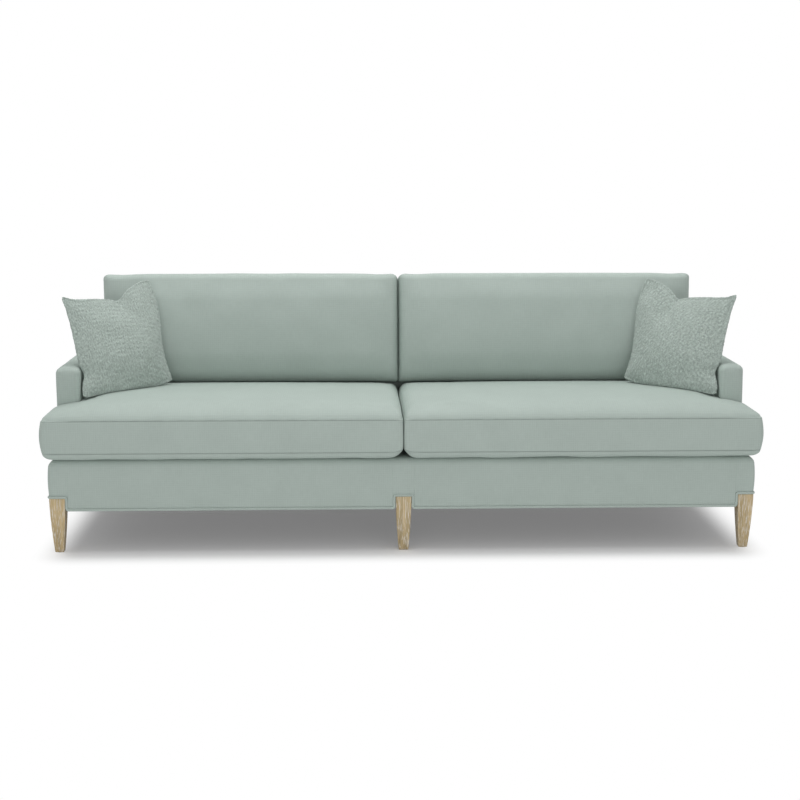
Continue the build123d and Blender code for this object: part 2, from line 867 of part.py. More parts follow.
tunnels = [arm_tunnel(side, fabric, arm_front, inside_y(arm_height) + back_inset) for _, side in sides]
below_deck = inside_layer(
    (-half_base + fabric, half_base - fabric), (skirt_edge - far, deck_height), -far, back_inset
)
rear_edge = outside_y(leg_height)
back_notches = row_notches(rear_edge + wall_reach / 2, rear_edge - notch, rear_edge + far)
back_cover = shell(back_form(0), back_form(fabric))
keep(without(back_cover, [*tunnels, below_deck, *back_notches]), "back_cover")
pad_top = back_height - fabric
pad_outline = (
    (inside_y(deck_height) + fabric, deck_height),
    (inside_y(pad_top) + fabric, pad_top),
    (outside_y(pad_top), pad_top),
    (outside_y(pad_top - wadding), pad_top - wadding),
    (inside_y(pad_top - wadding) + fabric + back_wadding, pad_top - wadding),
    (inside_y(deck_height) + fabric + back_wadding, deck_height),
)
back_pad = common(raked_board((-half_base, half_base), pad_outline), back_form(fabric))
keep(without(back_pad, [*tunnels, top_rail]), "inside_back_pad")
keep(
    outside_layer((-half_base + inset, half_base - inset), (leg_height, top_board_low), fabric, rear_inset),
    "outside_back_liner",
)

# Front of the base and the deck

front_notches = row_notches(base_front + wall_reach / 2, base_front - far, base_front + notch)
keep(without(shell(front_form(0), front_form(fabric)), front_notches), "base_front_cover")
border_pad = common(shell(front_form(fabric), front_form(inset)), front_form(0))
keep(without(border_pad, front_notches), "front_border_pad")

deck_x = (-arm_inside, arm_inside)
pad_low = spring_top + insulator
deck_top = deck_height - fabric
keep(
    raked_board(
        deck_x,
        (
            (arm_front, deck_top),
            (arm_front, deck_height),
            (inside_y(deck_height), deck_height),
            (inside_y(deck_top), deck_top),
        ),
    ),
    "deck_cover",
)
pad_front = base_front + front_roll + fabric
keep(
    raked_board(
        deck_x,
        (
            (pad_front, pad_low),
            (pad_front, deck_height - inset),
            (arm_front, deck_height - inset),
            (arm_front, deck_top),
            (inside_y(deck_top), deck_top),
            (inside_y(pad_low), pad_low),
        ),
    ),
    "deck_pad",
)
keep(
    raked_board(
        deck_x,
        (
            (pad_front, spring_top),
            (pad_front, pad_low),
            (inside_y(pad_low), pad_low),
            (inside_y(spring_top), spring_top),
        ),
    ),
    "spring_insulator",
)

# Zigzag seat springs run from the front rail to the rear rail, held in folded clips

front_clip_y = sum(front_rail_y) / 2
rear_clip_y = outside_y(rail_top) - inset - rail_thickness / 2
bars = round((rear_clip_y - front_clip_y) / spring_pitch)
pitch = (rear_clip_y - front_clip_y) / bars
bay_inner = centre_rail_width / 2 + spring_margin
bay_outer = arm_inside - spring_margin
spring_step = (bay_outer - bay_inner) / (springs_per_side - 1)
spring_x = [side * (bay_inner + spring_step * n) for _, side in sides for n in range(springs_per_side)]


def zigzag(x):
    """The outline of one spring: out along one side of its wire and home along the other."""
    bend = (spring_width - wire) / 2
    line = []
    for n in range(bars + 1):
        end = bend if n % 2 else -bend
        line += [Vector(x - end, front_clip_y + n * pitch), Vector(x + end, front_clip_y + n * pitch)]
    normals = [Vector(a.Y - b.Y, b.X - a.X).normalized() * (wire / 2) for a, b in zip(line, line[1:])]
    shifts = [normals[0], *(a + b for a, b in zip(normals, normals[1:])), normals[-1]]
    out = [point + shift for point, shift in zip(line, shifts)]
    home = [point - shift for point, shift in zip(line, shifts)]
    return out + home[::-1]


springs = []
for x in spring_x:
    with BuildPart() as spring:
        with BuildSketch(Plane.XY.offset(rail_top + clip_sheet)):
            with BuildLine():
                Polyline(*zigzag(x), close=True)
            make_face()
        extrude(amount=wire)
    springs.append(spring.part)
keep(joined(*springs), "seat_springs")


def clip_outline(y, way):
    """A folded strip round the end bar of a spring, open on the side that way points to."""
    heel, lip, bend = y - way * clip_depth / 2, y + way * clip_depth / 2, y - way * wire
    rise = (rail_top, rail_top + clip_sheet, rail_top + clip_sheet + wire, spring_top)
    return (
        (heel, rise[0]),
        (lip, rise[0]),
        (lip, rise[1]),
        (bend, rise[1]),
        (bend, rise[2]),
        (lip, rise[2]),
        (lip, rise[3]),
        (heel, rise[3]),
    )


clips = []
for x in spring_x:
    strip = (x - clip_width / 2, x + clip_width / 2)
    clips.append(raked_board(strip, clip_outline(front_clip_y, 1)))
    clips.append(raked_board(strip, clip_outline(rear_clip_y, -1)))
keep(joined(*clips), "spring_clips")

# Dust cover under the frame, cut round the legs

with BuildPart() as dust_cover:
    low_rear = outside_y(skirt_edge) - inset
    with BuildSketch(Plane.XY.offset(skirt_edge - cambric)):
        with Locations((0, (base_front + inset + low_rear) / 2)):
            Rectangle(2 * (half_base - inset), low_rear - base_front - inset)
        with Locations(*leg_spots.values()):
            Rectangle(leg_top + 2 * leg_room, leg_top + 2 * leg_room, mode=Mode.SUBTRACT)
    extrude(amount=cambric)
keep(dust_cover.part, "dust_cover")

# Welt along the skirt: one cord that steps up and over every leg

welt_low = skirt_edge - welt - welt_gap
welt_high = leg_height - welt - welt_gap
corner_x = half_base - notch + welt + welt_gap
middle_x = leg_top / 2 + leg_room + welt - welt_gap
side_x = half_base - fabric / 2
front_y = base_front + fabric / 2
front_step = base_front + notch - welt - welt_gap


def rear_y(z):
    return outside_y(z) - fabric / 2


def skirt_run(y_at):
    """One row of the welt, left to right, over the corner legs and the middle leg."""
    half = [
        (-corner_x, welt_high),
        (-corner_x, welt_low),
        (-middle_x, welt_low),
        (-middle_x, welt_high),
    ]
    run = half + [(-x, z) for x, z in reversed(half)]
    corner = [(side_x, welt_high)]
    return [(x, y_at(z), z) for x, z in [(-side_x, welt_high), *run, *corner]]


rear_step = outside_y(leg_height) - notch + welt + welt_gap
right_side = [
    (side_x, front_step, welt_high),
    (side_x, front_step, welt_low),
    (side_x, rear_step, welt_low),
    (side_x, rear_step, welt_high),
]
left_side = [(-x, y, z) for x, y, z in reversed(right_side)]
route = skirt_run(lambda z: front_y) + right_side + list(reversed(skirt_run(rear_y))) + left_side


def eased(points):
    """A closed route with every corner cut off: less at the hem, where the skirt's corner is inside."""
    places = [Vector(*point) for point in points]
    cut = []
    for before, here, after in zip(places[-1:] + places, places, places[1:] + places[:1]):
        ease = welt_turn if here.Z < (welt_low + welt_high) / 2 else welt_cut
        cut += [here + (way - here).normalized() * ease for way in (before, after)]
    return cut


welt_route = eased(route)
with BuildPart() as base_welt:
    with BuildLine() as welt_line:
        Polyline(*welt_route, close=True)
    with BuildSketch(Plane(origin=welt_line.line @ 0, z_dir=welt_line.line % 0)):
        RegularPolygon(welt, 8)
    sweep(path=welt_line.line, transition=Transition.RIGHT)
keep(base_welt.part, "base_welt")

# Legs, their bolts, the inserts in the posts and the glides

spots = list(leg_spots.values())
for name, spot in leg_spots.items():
    keep(leg(*spot), name)
bolt_top = leg_height + bolt_in_post
keep(rods(bolt_diameter, leg_height - bolt_in_leg, bolt_top, spots), "hanger_bolts")
insert_body = rods(insert_diameter, leg_height, leg_height + insert_length, spots)
insert_bore = rods(bolt_diameter + 2 * insert_play, leg_height, leg_height + insert_length, spots)
keep(without(insert_body, [insert_bore]), "threaded_inserts")
with BuildPart() as glides:
    add(rods(glide_diameter, 0, glide_thickness, spots))
    add(rods(nail_diameter, glide_thickness, glide_thickness + nail_length, spots))
keep(glides.part, "leg_glides")

# Cushions and pillows: a sewn cover, wrapped in fibre inside, over its filling; made once and mirrored

for name, form, core, first in (
    ("seat_cushion", seat_form(0), seat_core(), "right"),
    ("back_cushion", back_cushion_form(), back_core(), "right"),
    ("throw_pillow", pillow_form(), pillow_core(), "left"),
):
    cover = shell(form, core)
    second = "left" if first == "right" else "right"
    keep(cover, f"{name}_cover_{first}")
    keep(mirrored(cover), f"{name}_cover_{second}")
    keep(core, f"{name}_core_{first}")
    keep(mirrored(core), f"{name}_core_{second}")
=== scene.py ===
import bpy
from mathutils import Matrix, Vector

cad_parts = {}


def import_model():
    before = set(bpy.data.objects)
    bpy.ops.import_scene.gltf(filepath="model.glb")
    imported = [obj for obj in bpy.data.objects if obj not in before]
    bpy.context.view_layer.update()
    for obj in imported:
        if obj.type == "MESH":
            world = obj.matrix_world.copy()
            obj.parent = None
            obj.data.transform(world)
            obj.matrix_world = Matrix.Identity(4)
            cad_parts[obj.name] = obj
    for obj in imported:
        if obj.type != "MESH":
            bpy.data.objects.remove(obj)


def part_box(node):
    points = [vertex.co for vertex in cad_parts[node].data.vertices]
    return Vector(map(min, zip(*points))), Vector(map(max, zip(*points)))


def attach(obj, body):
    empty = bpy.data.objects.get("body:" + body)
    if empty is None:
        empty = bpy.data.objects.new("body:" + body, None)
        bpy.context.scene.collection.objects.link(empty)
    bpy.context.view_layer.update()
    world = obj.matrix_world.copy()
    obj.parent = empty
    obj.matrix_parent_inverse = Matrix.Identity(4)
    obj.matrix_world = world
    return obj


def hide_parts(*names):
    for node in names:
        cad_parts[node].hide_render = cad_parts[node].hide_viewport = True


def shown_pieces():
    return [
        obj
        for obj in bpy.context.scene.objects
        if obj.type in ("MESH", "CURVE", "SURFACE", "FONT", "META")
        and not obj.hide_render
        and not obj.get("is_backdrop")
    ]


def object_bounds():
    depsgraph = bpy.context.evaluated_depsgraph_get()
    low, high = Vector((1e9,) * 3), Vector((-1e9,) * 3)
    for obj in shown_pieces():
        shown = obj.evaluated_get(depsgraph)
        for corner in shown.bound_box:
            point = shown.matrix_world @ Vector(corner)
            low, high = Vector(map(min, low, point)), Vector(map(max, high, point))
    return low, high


bl_info = {
    "name": "Two-cushion sofa",
    "version": (1, 0, 0),
    "blender": (4, 5, 0),
    "location": "View3D > Sidebar > Sofa",
    "description": "Dresses a packed sofa frame in padded covers, loose cushions, welt and limed oak legs",
    "category": "Object",
}

import math

import bpy
import numpy as np
from bpy.props import FloatProperty, FloatVectorProperty, PointerProperty
from mathutils import Vector

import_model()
cad_box = [list(corner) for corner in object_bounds()]

# Places read from the packed solids, in metres
base_low, base_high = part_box("base_front_cover")
arm_low, arm_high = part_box("arm_cover_right")
seat_low, seat_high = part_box("seat_cushion_cover_right")
back_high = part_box("back_cover")[1]
half_base = base_high.x
base_front = base_low.y
arm_front = base_high.y
skirt_edge = base_low.z
deck_height = base_high.z
arm_inside = arm_low.x
arm_top = arm_high.z
back_top = back_high.z
back_rear = back_high.y
seat_inner, seat_outer = seat_low.x, seat_high.x
seat_front, seat_rear = seat_low.y, seat_high.y
leg_low, leg_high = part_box("front_leg_right")
leg_top = leg_high.z

# Sizes that the solids share, in metres and degrees
inside_rake = math.tan(math.radians(10.0))
outside_rake = math.tan(math.radians(6.3))
back_roll = 0.022
arm_roll = 0.022
front_roll = 0.027
base_corner = 0.012
leg_gap = 0.010  # from a leg to the edge of its notch
notch_round = 0.0107
seam_low = deck_height + 0.026
seam_high = seam_low + 0.111
shoulder_rise = 0.044
shoulder_width = 0.120
seat_roll = 0.056  # from a seat cushion's inner end to where its top is level
ear_roll = 0.250  # from its outer end
rear_roll = 0.240  # from its rear edge
seat_crown = 0.012
seat_sink = 0.0105  # at the rear, where people sit
cushion_height = 0.412
heel_sink = 0.030
seat_shoulder_top = seam_high + 0.038
cushion_outer = arm_inside - 0.015
hair = 0.0004  # space kept between pieces that rest on each other
weld_step = 1e-6  # points nearer than this are one
trial_frames = 20


# Numbers on whole arrays


def smooth(t):
    """Smooth step: 0 below 0, 1 above 1, three t squared less two t cubed between."""
    t = np.clip(t, 0.0, 1.0)
    return t * t * (3.0 - 2.0 * t)


def arch(distance, width):
    """Rise from an edge as a quarter of an ellipse: upright at the edge, level at the width."""
    left = np.clip(1.0 - distance / width, 0.0, 1.0)
    return np.sqrt(1.0 - left**2)


def dome(across, along, width, depth, power):
    """Rise from the sides of a panel with rounded corners: an ellipse of two sides' combined shares."""
    left_x = np.clip(1.0 - across / width, 0.0, 1.0)
    left_y = np.clip(1.0 - along / depth, 0.0, 1.0)
    left = np.minimum((left_x**power + left_y**power) ** (1.0 / power), 1.0)
    return np.sqrt(1.0 - left**2)


def bell(distance, width):
    """1 at no distance, and e to the power of minus the square of distance over width beyond."""
    return np.exp(-((distance / width) ** 2))


def unit(vectors):
    """Vectors divided by their lengths."""
    return vectors / np.linalg.norm(vectors, axis=-1)[..., None]


def stack(*parts):
    """Points or vectors from arrays of their parts."""
    return np.stack(np.broadcast_arrays(*parts), axis=-1)


def run_length(points):
    """Distance along a row of points from its first: the steps' lengths, summed."""
    return np.concatenate(([0.0], np.cumsum(np.linalg.norm(np.diff(points, axis=0), axis=1))))


def even(count):
    """Even places from 0 to 1."""
    return np.linspace(0.0, 1.0, count)


def ripple(points, wavelength, seed, waves=14):
    """Even soft noise in -1 to 1: a sum of cosines with seeded directions and phases."""
    rng = np.random.default_rng(seed)
    ways = unit(rng.normal(size=(waves, 3)))
    lengths = wavelength * rng.uniform(0.6, 1.6, waves)
    phases = rng.uniform(0.0, 2.0 * np.pi, waves)
    turns = points @ (ways.T * (2.0 * np.pi / lengths)) + phases
    return np.cos(turns).sum(axis=-1) / math.sqrt(waves)


def inside_y(z):
    """The raked inside back at a height."""
    return inside_foot + (z - deck_height) * inside_rake


def outside_y(z):
    """The raked outside back at a height."""
    return outside_crest + (z - (back_top - back_roll)) * outside_rake


inside_foot = seat_rear + 0.002
outside_slope = math.atan(outside_rake)
outside_crest = back_rear + back_roll * (1.0 / math.cos(outside_slope) - 1.0)


def between(length, step, close=()):
    """Parameters 0 to 1 along a length: some close distances at both ends, then even steps."""
    ends = np.array([0.0, *close])
    start = ends[-1]
    count = max(2, int(round((length - 2.0 * start) / step)))
    middle = np.linspace(start, length - start, count + 1)
    return np.concatenate((ends[:-1], middle, (length - ends[:-1])[::-1])) / length


def weights(count, places):
    """Matrix that carries values at even places to other places, by a cubic through four neighbours."""
    x = np.clip(places, 0.0, 1.0) * (count - 1)
    cell = np.clip(np.floor(x).astype(int), 0, count - 2)
    t = x - cell
    cubic = np.stack(
        (
            -0.5 * t + t**2 - 0.5 * t**3,
            1.0 - 2.5 * t**2 + 1.5 * t**3,
            0.5 * t + 2.0 * t**2 - 1.5 * t**3,
            -0.5 * t**2 + 0.5 * t**3,
        )
    )
    table = np.zeros((len(places), count))
    for k in range(4):
        np.add.at(table, (np.arange(len(places)), np.clip(cell + k - 1, 0, count - 1)), cubic[k])
    return table


def carry(values, rows, columns):
    """A coarse grid of vectors carried to finer rows and columns."""
    by_row = np.einsum("ai,ijk->ajk", weights(values.shape[0], rows), values)
    return np.einsum("bj,ajk->abk", weights(values.shape[1], columns), by_row)


def rounded_outline(corners, radii, arc_points=9):
    """A closed polygon with rounded corners: its points in order, and the length at each corner's middle."""
    corners = np.asarray(corners, float)
    points = []
    middles = []
    for k, radius in enumerate(radii):
        here = corners[k]
        before = unit(corners[k - 1] - here)
        after = unit(corners[(k + 1) % len(corners)] - here)
        half = 0.5 * math.acos(np.clip(before @ after, -1.0, 1.0))
        reach = radius / math.tan(half)
        centre = here + unit(before + after) * (radius / math.sin(half))
        first = here + before * reach - centre
        last = here + after * reach - centre
        turn = math.atan2(first[0] * last[1] - first[1] * last[0], first @ last)
        angle = np.linspace(0.0, turn, arc_points)[:, None]
        quarter = np.array([-first[1], first[0]])
        middles.append(len(points) * arc_points + arc_points // 2)
        points.append(centre + np.cos(angle) * first + np.sin(angle) * quarter)
    outline = np.concatenate(points)
    closed = np.vstack((outline, outline[:1]))
    length = run_length(closed)
    return closed, length, length[middles]


def along_outline(closed, length, start, stop, places):
    """Points on a closed outline at parts of the way from one length to a later one."""
    total = length[-1]
    stop = stop + total if stop <= start else stop
    at = (start + (stop - start) * places) % total
    return np.stack([np.interp(at, length, closed[:, k]) for k in range(2)], axis=-1)


# Meshes from grids of points


def grid_quads(rows, columns, first, flip):
    """The quads of one grid, turned over when asked."""
    corner = first + (np.arange(rows - 1)[:, None] * columns + np.arange(columns - 1)[None, :]).ravel()
    quads = np.stack((corner, corner + 1, corner + columns + 1, corner + columns), axis=1)
    return quads[:, ::-1] if flip else quads


class Chart:
    """One grid of points with its cloth coordinates in metres; flip turns its faces over."""

    def __init__(self, points, uv=None, flip=False):
        self.points = np.asarray(points, float)
        self.flip = flip
        if uv is None:
            across = np.linalg.norm(np.diff(self.points, axis=1), axis=2)
            down = np.linalg.norm(np.diff(self.points, axis=0), axis=2)
            u = np.concatenate((np.zeros((across.shape[0], 1)), np.cumsum(across, axis=1)), axis=1)
            v = np.concatenate((np.zeros((1, down.shape[1])), np.cumsum(down, axis=0)), axis=0)
            uv = stack(u, v)
        self.uv = uv

    def mirror(self):
        """Turns the chart into its reflection in the sofa's middle."""
        self.points = self.points * np.array([-1.0, 1.0, 1.0])
        self.flip = not self.flip


def weld(charts):
    """Joins charts where points meet: vertices, quads, the quads' places in the charts, and the joining."""
    points = np.concatenate([chart.points.reshape(-1, 3) for chart in charts])
    quads = []
    first = 0
    for chart in charts:
        rows, columns = chart.points.shape[:2]
        quads.append(grid_quads(rows, columns, first, chart.flip))
        first += rows * columns
    quads = np.concatenate(quads)
    cells = points / weld_step
    _, index, plain = np.unique(np.round(cells), axis=0, return_index=True, return_inverse=True)
    _, shifted = np.unique(np.round(cells + 0.5), axis=0, return_inverse=True)
    plain, shifted = plain.ravel(), shifted.ravel()
    label = plain
    # Points that share a cell of either grid are one, so none is lost at the border of a cell.
    for cell in (shifted, plain, shifted):
        least = np.full(cell.max() + 1, len(points))
        np.minimum.at(least, cell, label)
        label = least[cell]
    labels, joined = np.unique(label, return_inverse=True)
    index = index[labels]
    whole = joined[quads]
    ring = np.sort(whole, axis=1)
    flat = (np.diff(ring, axis=1) == 0).sum(axis=1)
    kept = flat < 2
    return points[index], whole[kept], quads[kept], joined


def link(name, data):
    """Puts a mesh, a lamp or a camera into the scene as an object."""
    thing = bpy.data.objects.new(name, data)
    bpy.context.scene.collection.objects.link(thing)
    return thing


def dress(thing, material, body, slot, *nodes):
    """Gives a piece its material, the body it rides, its slot and the solids it stands for."""
    thing.data.materials.append(material)
    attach(thing, body)
    if nodes:
        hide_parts(*nodes)


def mesh_object(name, charts):
    """A smooth mesh from welded charts, with the charts' cloth coordinates as its UV map."""
    vertices, quads, places, joined = weld(charts)
    mesh = bpy.data.meshes.new(name)
    faces = [tuple(dict.fromkeys(quad)) for quad in quads.tolist()]
    mesh.from_pydata(vertices, [], faces)
    uv = np.concatenate([chart.uv.reshape(-1, 2) for chart in charts])
    whole = np.array([len(face) for face in faces]) == 4
    loops = np.zeros((len(mesh.loops), 2))
    starts = np.zeros(len(mesh.polygons), int)
    mesh.polygons.foreach_get("loop_start", starts)
    corner = starts[whole][:, None] + np.arange(4)
    loops[corner.ravel()] = uv[places[whole].ravel()]
    for k in np.flatnonzero(~whole):
        _, kept = np.unique(quads[k], return_index=True)
        kept = np.sort(kept)
        loops[starts[k]:starts[k] + len(faces[k])] = uv[places[k][kept]]
    layer = mesh.uv_layers.new(name="cloth")
    layer.data.foreach_set("uv", loops.ravel())
    mesh.polygons.foreach_set("use_smooth", np.ones(len(mesh.polygons), bool))
    mesh.update()
    return link(name, mesh), joined


def paint(thing, joined, name, values):
    """Stores one number per chart point on a mesh, for its material to read."""
    field = np.zeros(len(thing.data.vertices))
    np.maximum.at(field, joined, np.concatenate([v.ravel() for v in values]))
    thing.data.attributes.new(name, "FLOAT", "POINT").data.foreach_set("value", field)


def coordinates(mesh):
    flat = np.zeros(len(mesh.vertices) * 3)
    mesh.vertices.foreach_get("co", flat)
    return flat.reshape(-1, 3)


def normals(mesh):
    flat = np.zeros(len(mesh.vertices) * 3, np.float32)
    mesh.vertex_normals.foreach_get("vector", flat)
    return flat.reshape(-1, 3).astype(float)


def place(mesh, points):
    mesh.vertices.foreach_set("co", np.ascontiguousarray(points).ravel())
    mesh.update()


def lift(thing, raised, clear=None):
    """Moves a mesh's points along their normals, and then clear of what they may not enter."""
    points = coordinates(thing.data) + normals(thing.data) * raised[:, None]
    place(thing.data, clear(points) if clear else points)


def by_vertex(thing, joined, relief):
    """One number per vertex, from one per chart point."""
    values = np.zeros(len(thing.data.vertices))
    values[joined] = np.concatenate([r.ravel() for r in relief])
    return values


def soften(thing, depth, wavelength, seed, above):
    """Low soft waves over a fixed cover, fading out towards its hem."""
    points = coordinates(thing.data)
    lift(thing, depth * ripple(points, wavelength, seed) * smooth((points[:, 2] - skirt_edge) / above))


def inflated(charts, held, pressure, cap, stiffness):
    """How far cloth over a form moves under air pressure: a vector per chart point, at most cap long."""
    trial, joined = mesh_object("cloth_trial", charts)
    start = coordinates(trial.data)
    group = trial.vertex_groups.new(name="held")
    still = np.zeros(len(start))
    np.maximum.at(still, joined, np.concatenate([h.ravel() for h in held]))
    group.add(np.flatnonzero(still > 0.5).tolist(), 1.0, "REPLACE")
    cloth = trial.modifiers.new("cloth", "CLOTH")
    settings = cloth.settings
    settings.quality = 6
    settings.mass = 0.3
    settings.tension_stiffness = stiffness
    settings.compression_stiffness = stiffness
    settings.shear_stiffness = stiffness / 3
    settings.bending_stiffness = 0.8
    settings.use_pressure = True
    settings.uniform_pressure_force = pressure
    settings.effector_weights.gravity = 0.0
    settings.vertex_group_mass = "held"
    cloth.point_cache.frame_start = 1
    cloth.point_cache.frame_end = trial_frames
    for number in range(1, trial_frames + 1):
        bpy.context.scene.frame_set(number)
    settled = trial.evaluated_get(bpy.context.evaluated_depsgraph_get())
    moved = coordinates(settled.data) - start
    bpy.context.scene.frame_set(1)
    bpy.data.objects.remove(trial)
    size = np.linalg.norm(moved, axis=1)[:, None]
    moved = moved * (cap * np.tanh(size / cap) / np.maximum(size, 1e-9))
    spread = moved[joined]
    shifts = []
    first = 0
    for chart in charts:
        rows, columns = chart.points.shape[:2]
        shifts.append(spread[first:first + rows * columns].reshape(rows, columns, 3))
        first += rows * columns
    return shifts


# Boxed cushions: two panels and a boxing between their seams


class Form:
    """A boxed form: an outline with four named corners, panel heights over it and a place in the sofa."""

    def __init__(self, corners, radii, four, upper, lower, bulge, world, left_places=None):
        self.closed, self.length, middles = rounded_outline(corners, radii)
        ring = self.closed[:-1]
        step = np.roll(ring, -1, axis=0) - np.roll(ring, 1, axis=0)
        out = unit(stack(step[:, 1], -step[:, 0]))
        self.out = np.vstack((out, out[:1]))
        self.starts = [middles[k] for k in four]
        self.upper, self.lower, self.bulge, self.world = upper, lower, bulge, world
        self.left_places = left_places or (lambda v: v)

    def side(self, number, places):
        """Points and outward directions along one side, in order round the outline."""
        start = self.starts[number]
        stop = self.starts[(number + 1) % 4]
        points = along_outline(self.closed, self.length, start, stop, places)
        out = along_outline(self.out, self.length, start, stop, places)
        return points, unit(out)

    def plan(self, u, v):
        """The four sides blended: each side's share falls off evenly to the one across from it."""
        front, right = self.side(0, u)[0], self.side(1, v)[0]
        rear, left = self.side(2, 1.0 - u)[0], self.side(3, 1.0 - self.left_places(v))[0]
        a, b = u[None, :, None], v[:, None, None]
        ruled = (1 - b) * front[None] + b * rear[None] + (1 - a) * left[:, None] + a * right[:, None]
        corner = (1 - a) * ((1 - b) * front[0] + b * rear[0]) + a * ((1 - b) * front[-1] + b * rear[-1])
        return ruled - corner

    def charts(self, u, v, t):
        """Upper panel, lower panel, then the boxing's four sides."""
        plan = self.plan(u, v)
        made = [
            Chart(self.world(plan, self.upper(plan)), plan),
            Chart(self.world(plan, self.lower(plan)), plan, flip=True),
        ]
        run = 0.0
        for number, places in enumerate((u, v, 1.0 - u[::-1], 1.0 - self.left_places(v)[::-1])):
            points, out = self.side(number, places)
            low, high = self.lower(points), self.upper(points)
            heights = low + (high - low) * t[:, None]
            shift = self.bulge * np.sin(np.pi * t)[:, None, None] ** 0.8
            flat = points[None] + out[None] * shift
            length = run + run_length(points)
            run = length[-1]
            made.append(Chart(self.world(flat, heights), stack(length, heights)))
        return made

    def outward(self, number, places):
        """Directions out of a chart: straight out of a panel, level out of a side of the boxing."""
        flat = np.zeros((1, 1, 2))
        middle = self.world(flat, np.zeros((1, 1)))
        if number < 2:
            way = self.world(flat, np.ones((1, 1))) - middle
            return way if number == 0 else -way
        if number == 5:
            places = 1.0 - self.left_places(1.0 - places)
        out = self.side(number - 2, places)[1][None]
        way = self.world(flat + out, np.zeros(out.shape[:2])) - middle
        return unit(way)

    def rows_columns(self, u, v, t):
        """The places of each chart's rows and columns, to carry a coarse grid to a finer one."""
        back_u, back_v = 1.0 - u[::-1], 1.0 - v[::-1]
        return [(v, u), (v, u), (t, u), (t, v), (t, back_u), (t, back_v)]


def seam_profile(distance, settings):
    """Height of cloth near a seam: a narrow groove with a low lip beside it."""
    width = settings.seam_width
    lip = settings.seam_lip * bell(distance - 3.0 * width, 1.8 * width)
    return lip - settings.seam_depth * bell(distance, width)


def panel_distance(u, v, width, depth):
    """Distance from the nearest side of a panel."""
    across = np.minimum(u, 1.0 - u)[None, :] * width
    along = np.minimum(v, 1.0 - v)[:, None] * depth
    return np.minimum(across, along)


fine_edge = (0.0002, 0.0006, 0.0013, 0.0024, 0.0040, 0.0062, 0.0090, 0.0125)
fine_seam = (0.0007, 0.0015, 0.0026, 0.0042, 0.0066, 0.0100)
panel_fade = 0.110  # from a panel's edge to where the trial's movement is whole
boxing_fade = 0.040
boxing_step = 0.0080


def boxed_cushion(name, form, grid, shifts, size, profile, settings, seed, clear, line, mirror):
    """A finished cushion: the form swollen as its trial was, with sewn seams and slack in the cloth."""
    u, v, t = grid
    charts = form.charts(u, v, t)
    width, depth, height = size
    roll, rise = profile
    relief = []
    sewn = []
    for number, (chart, rows_columns) in enumerate(zip(charts, form.rows_columns(u, v, t))):
        if number < 2:
            rim = panel_distance(u, v, width, depth)
            distance = np.hypot(rim, rise * arch(rim, roll))
            across = smooth(np.minimum(u, 1 - u) * width / panel_fade)
            along = smooth(np.minimum(v, 1 - v) * depth / panel_fade)
            free = np.outer(along, across)
        else:
            distance = np.minimum(t, 1.0 - t)[:, None] * height * np.ones((1, chart.points.shape[1]))
            free = smooth(distance / boxing_fade)
        if shifts is not None:
            moved = carry(shifts[number], *rows_columns)
            way = form.outward(number, rows_columns[1])
            swollen = np.maximum((moved * way).sum(axis=-1), 0.0) * free
            chart.points = chart.points + swollen[..., None] * way
        # Painted shade: a mask that darkens the cloth within about 1.5 mm of each seam, standing in for the
        # shade in the seam's groove; line sets how strong it is.
        sewn.append(line * bell(distance, 0.0015))
        gathers = settings.pucker * ripple(chart.points, 0.030, seed + 7, 18) * bell(distance - 0.010, 0.009)
        slack = settings.slack * ripple(chart.points, 0.16, seed, 16) * smooth(distance / 0.06)
        relief.append(seam_profile(distance, settings) + gathers + slack)
        if mirror:
            chart.mirror()
    thing, joined = mesh_object(name, charts)
    lift(thing, by_vertex(thing, joined, relief), clear)
    # The painted seam shade is stored as the seam attribute, which the fabric's colour reads.
    paint(thing, joined, "seam", sewn)
    return thing


def cushion_pair(kind, form, trial, step, size, profile, seeds, clear, line, settings):
    """A left and a right cushion of one form, swollen as a trial with air in it was."""
    shifts = None
    counts, still, swell, stiffness = trial
    charts = form.charts(*(even(count) for count in counts))
    held = [np.zeros(chart.points.shape[:2]) for chart in charts]
    held[1][still] = 1.0
    shifts = inflated(charts, held, settings.cloth_pressure, swell, stiffness)
    width, depth, boxing = size
    u, v = between(width, step, fine_edge), between(depth, step, fine_edge)
    grid = (u, v, between(boxing, boxing_step, fine_seam))
    for side, seed in zip(("left", "right"), seeds):
        name = f"{kind}_{side}"
        mirror = side == "left"
        cushion = boxed_cushion(name, form, grid, shifts, size, profile, settings, seed, clear, line, mirror)
        nodes = (f"{kind}_cover_{side}", f"{kind}_core_{side}")
        dress(cushion, body_fabric(settings), name, "body_fabric", *nodes)


# Seat cushions

seat_arm_x = arm_inside - 0.002
seat_ear_y = arm_front - 0.002
seam_inset = 0.0015
seat_gap = 0.0012  # between a seat cushion and the arm, its neighbour or the deck


def seat_height(x, y):
    """Top of a seat cushion over the floor: the seam, a rolled shoulder from each edge, and a low crown."""
    x = np.abs(x)
    inner, outer = x - seat_inner - seam_inset, seat_outer - x - seam_inset
    front, rear = y - seat_front - seam_inset, seat_rear - y - seam_inset
    across = np.minimum(inner / seat_roll, outer / ear_roll)
    along = np.minimum(front / shoulder_width, rear / rear_roll)
    middle_x = np.clip((x - seat_inner) / (seat_outer - seat_inner), 0, 1)
    middle_y = np.clip((y - seat_front) / (seat_rear - seat_front), 0, 1)
    shoulder = dome(across, along, 1.0, 1.0, 9.0)
    crown = np.sin(np.pi * middle_x) ** 0.8 * np.sin(np.pi * middle_y**0.75) ** 0.8
    sat = seat_sink * smooth((middle_y - 0.35) / 0.38)
    return seam_high + shoulder_rise * shoulder + seat_crown * crown - sat


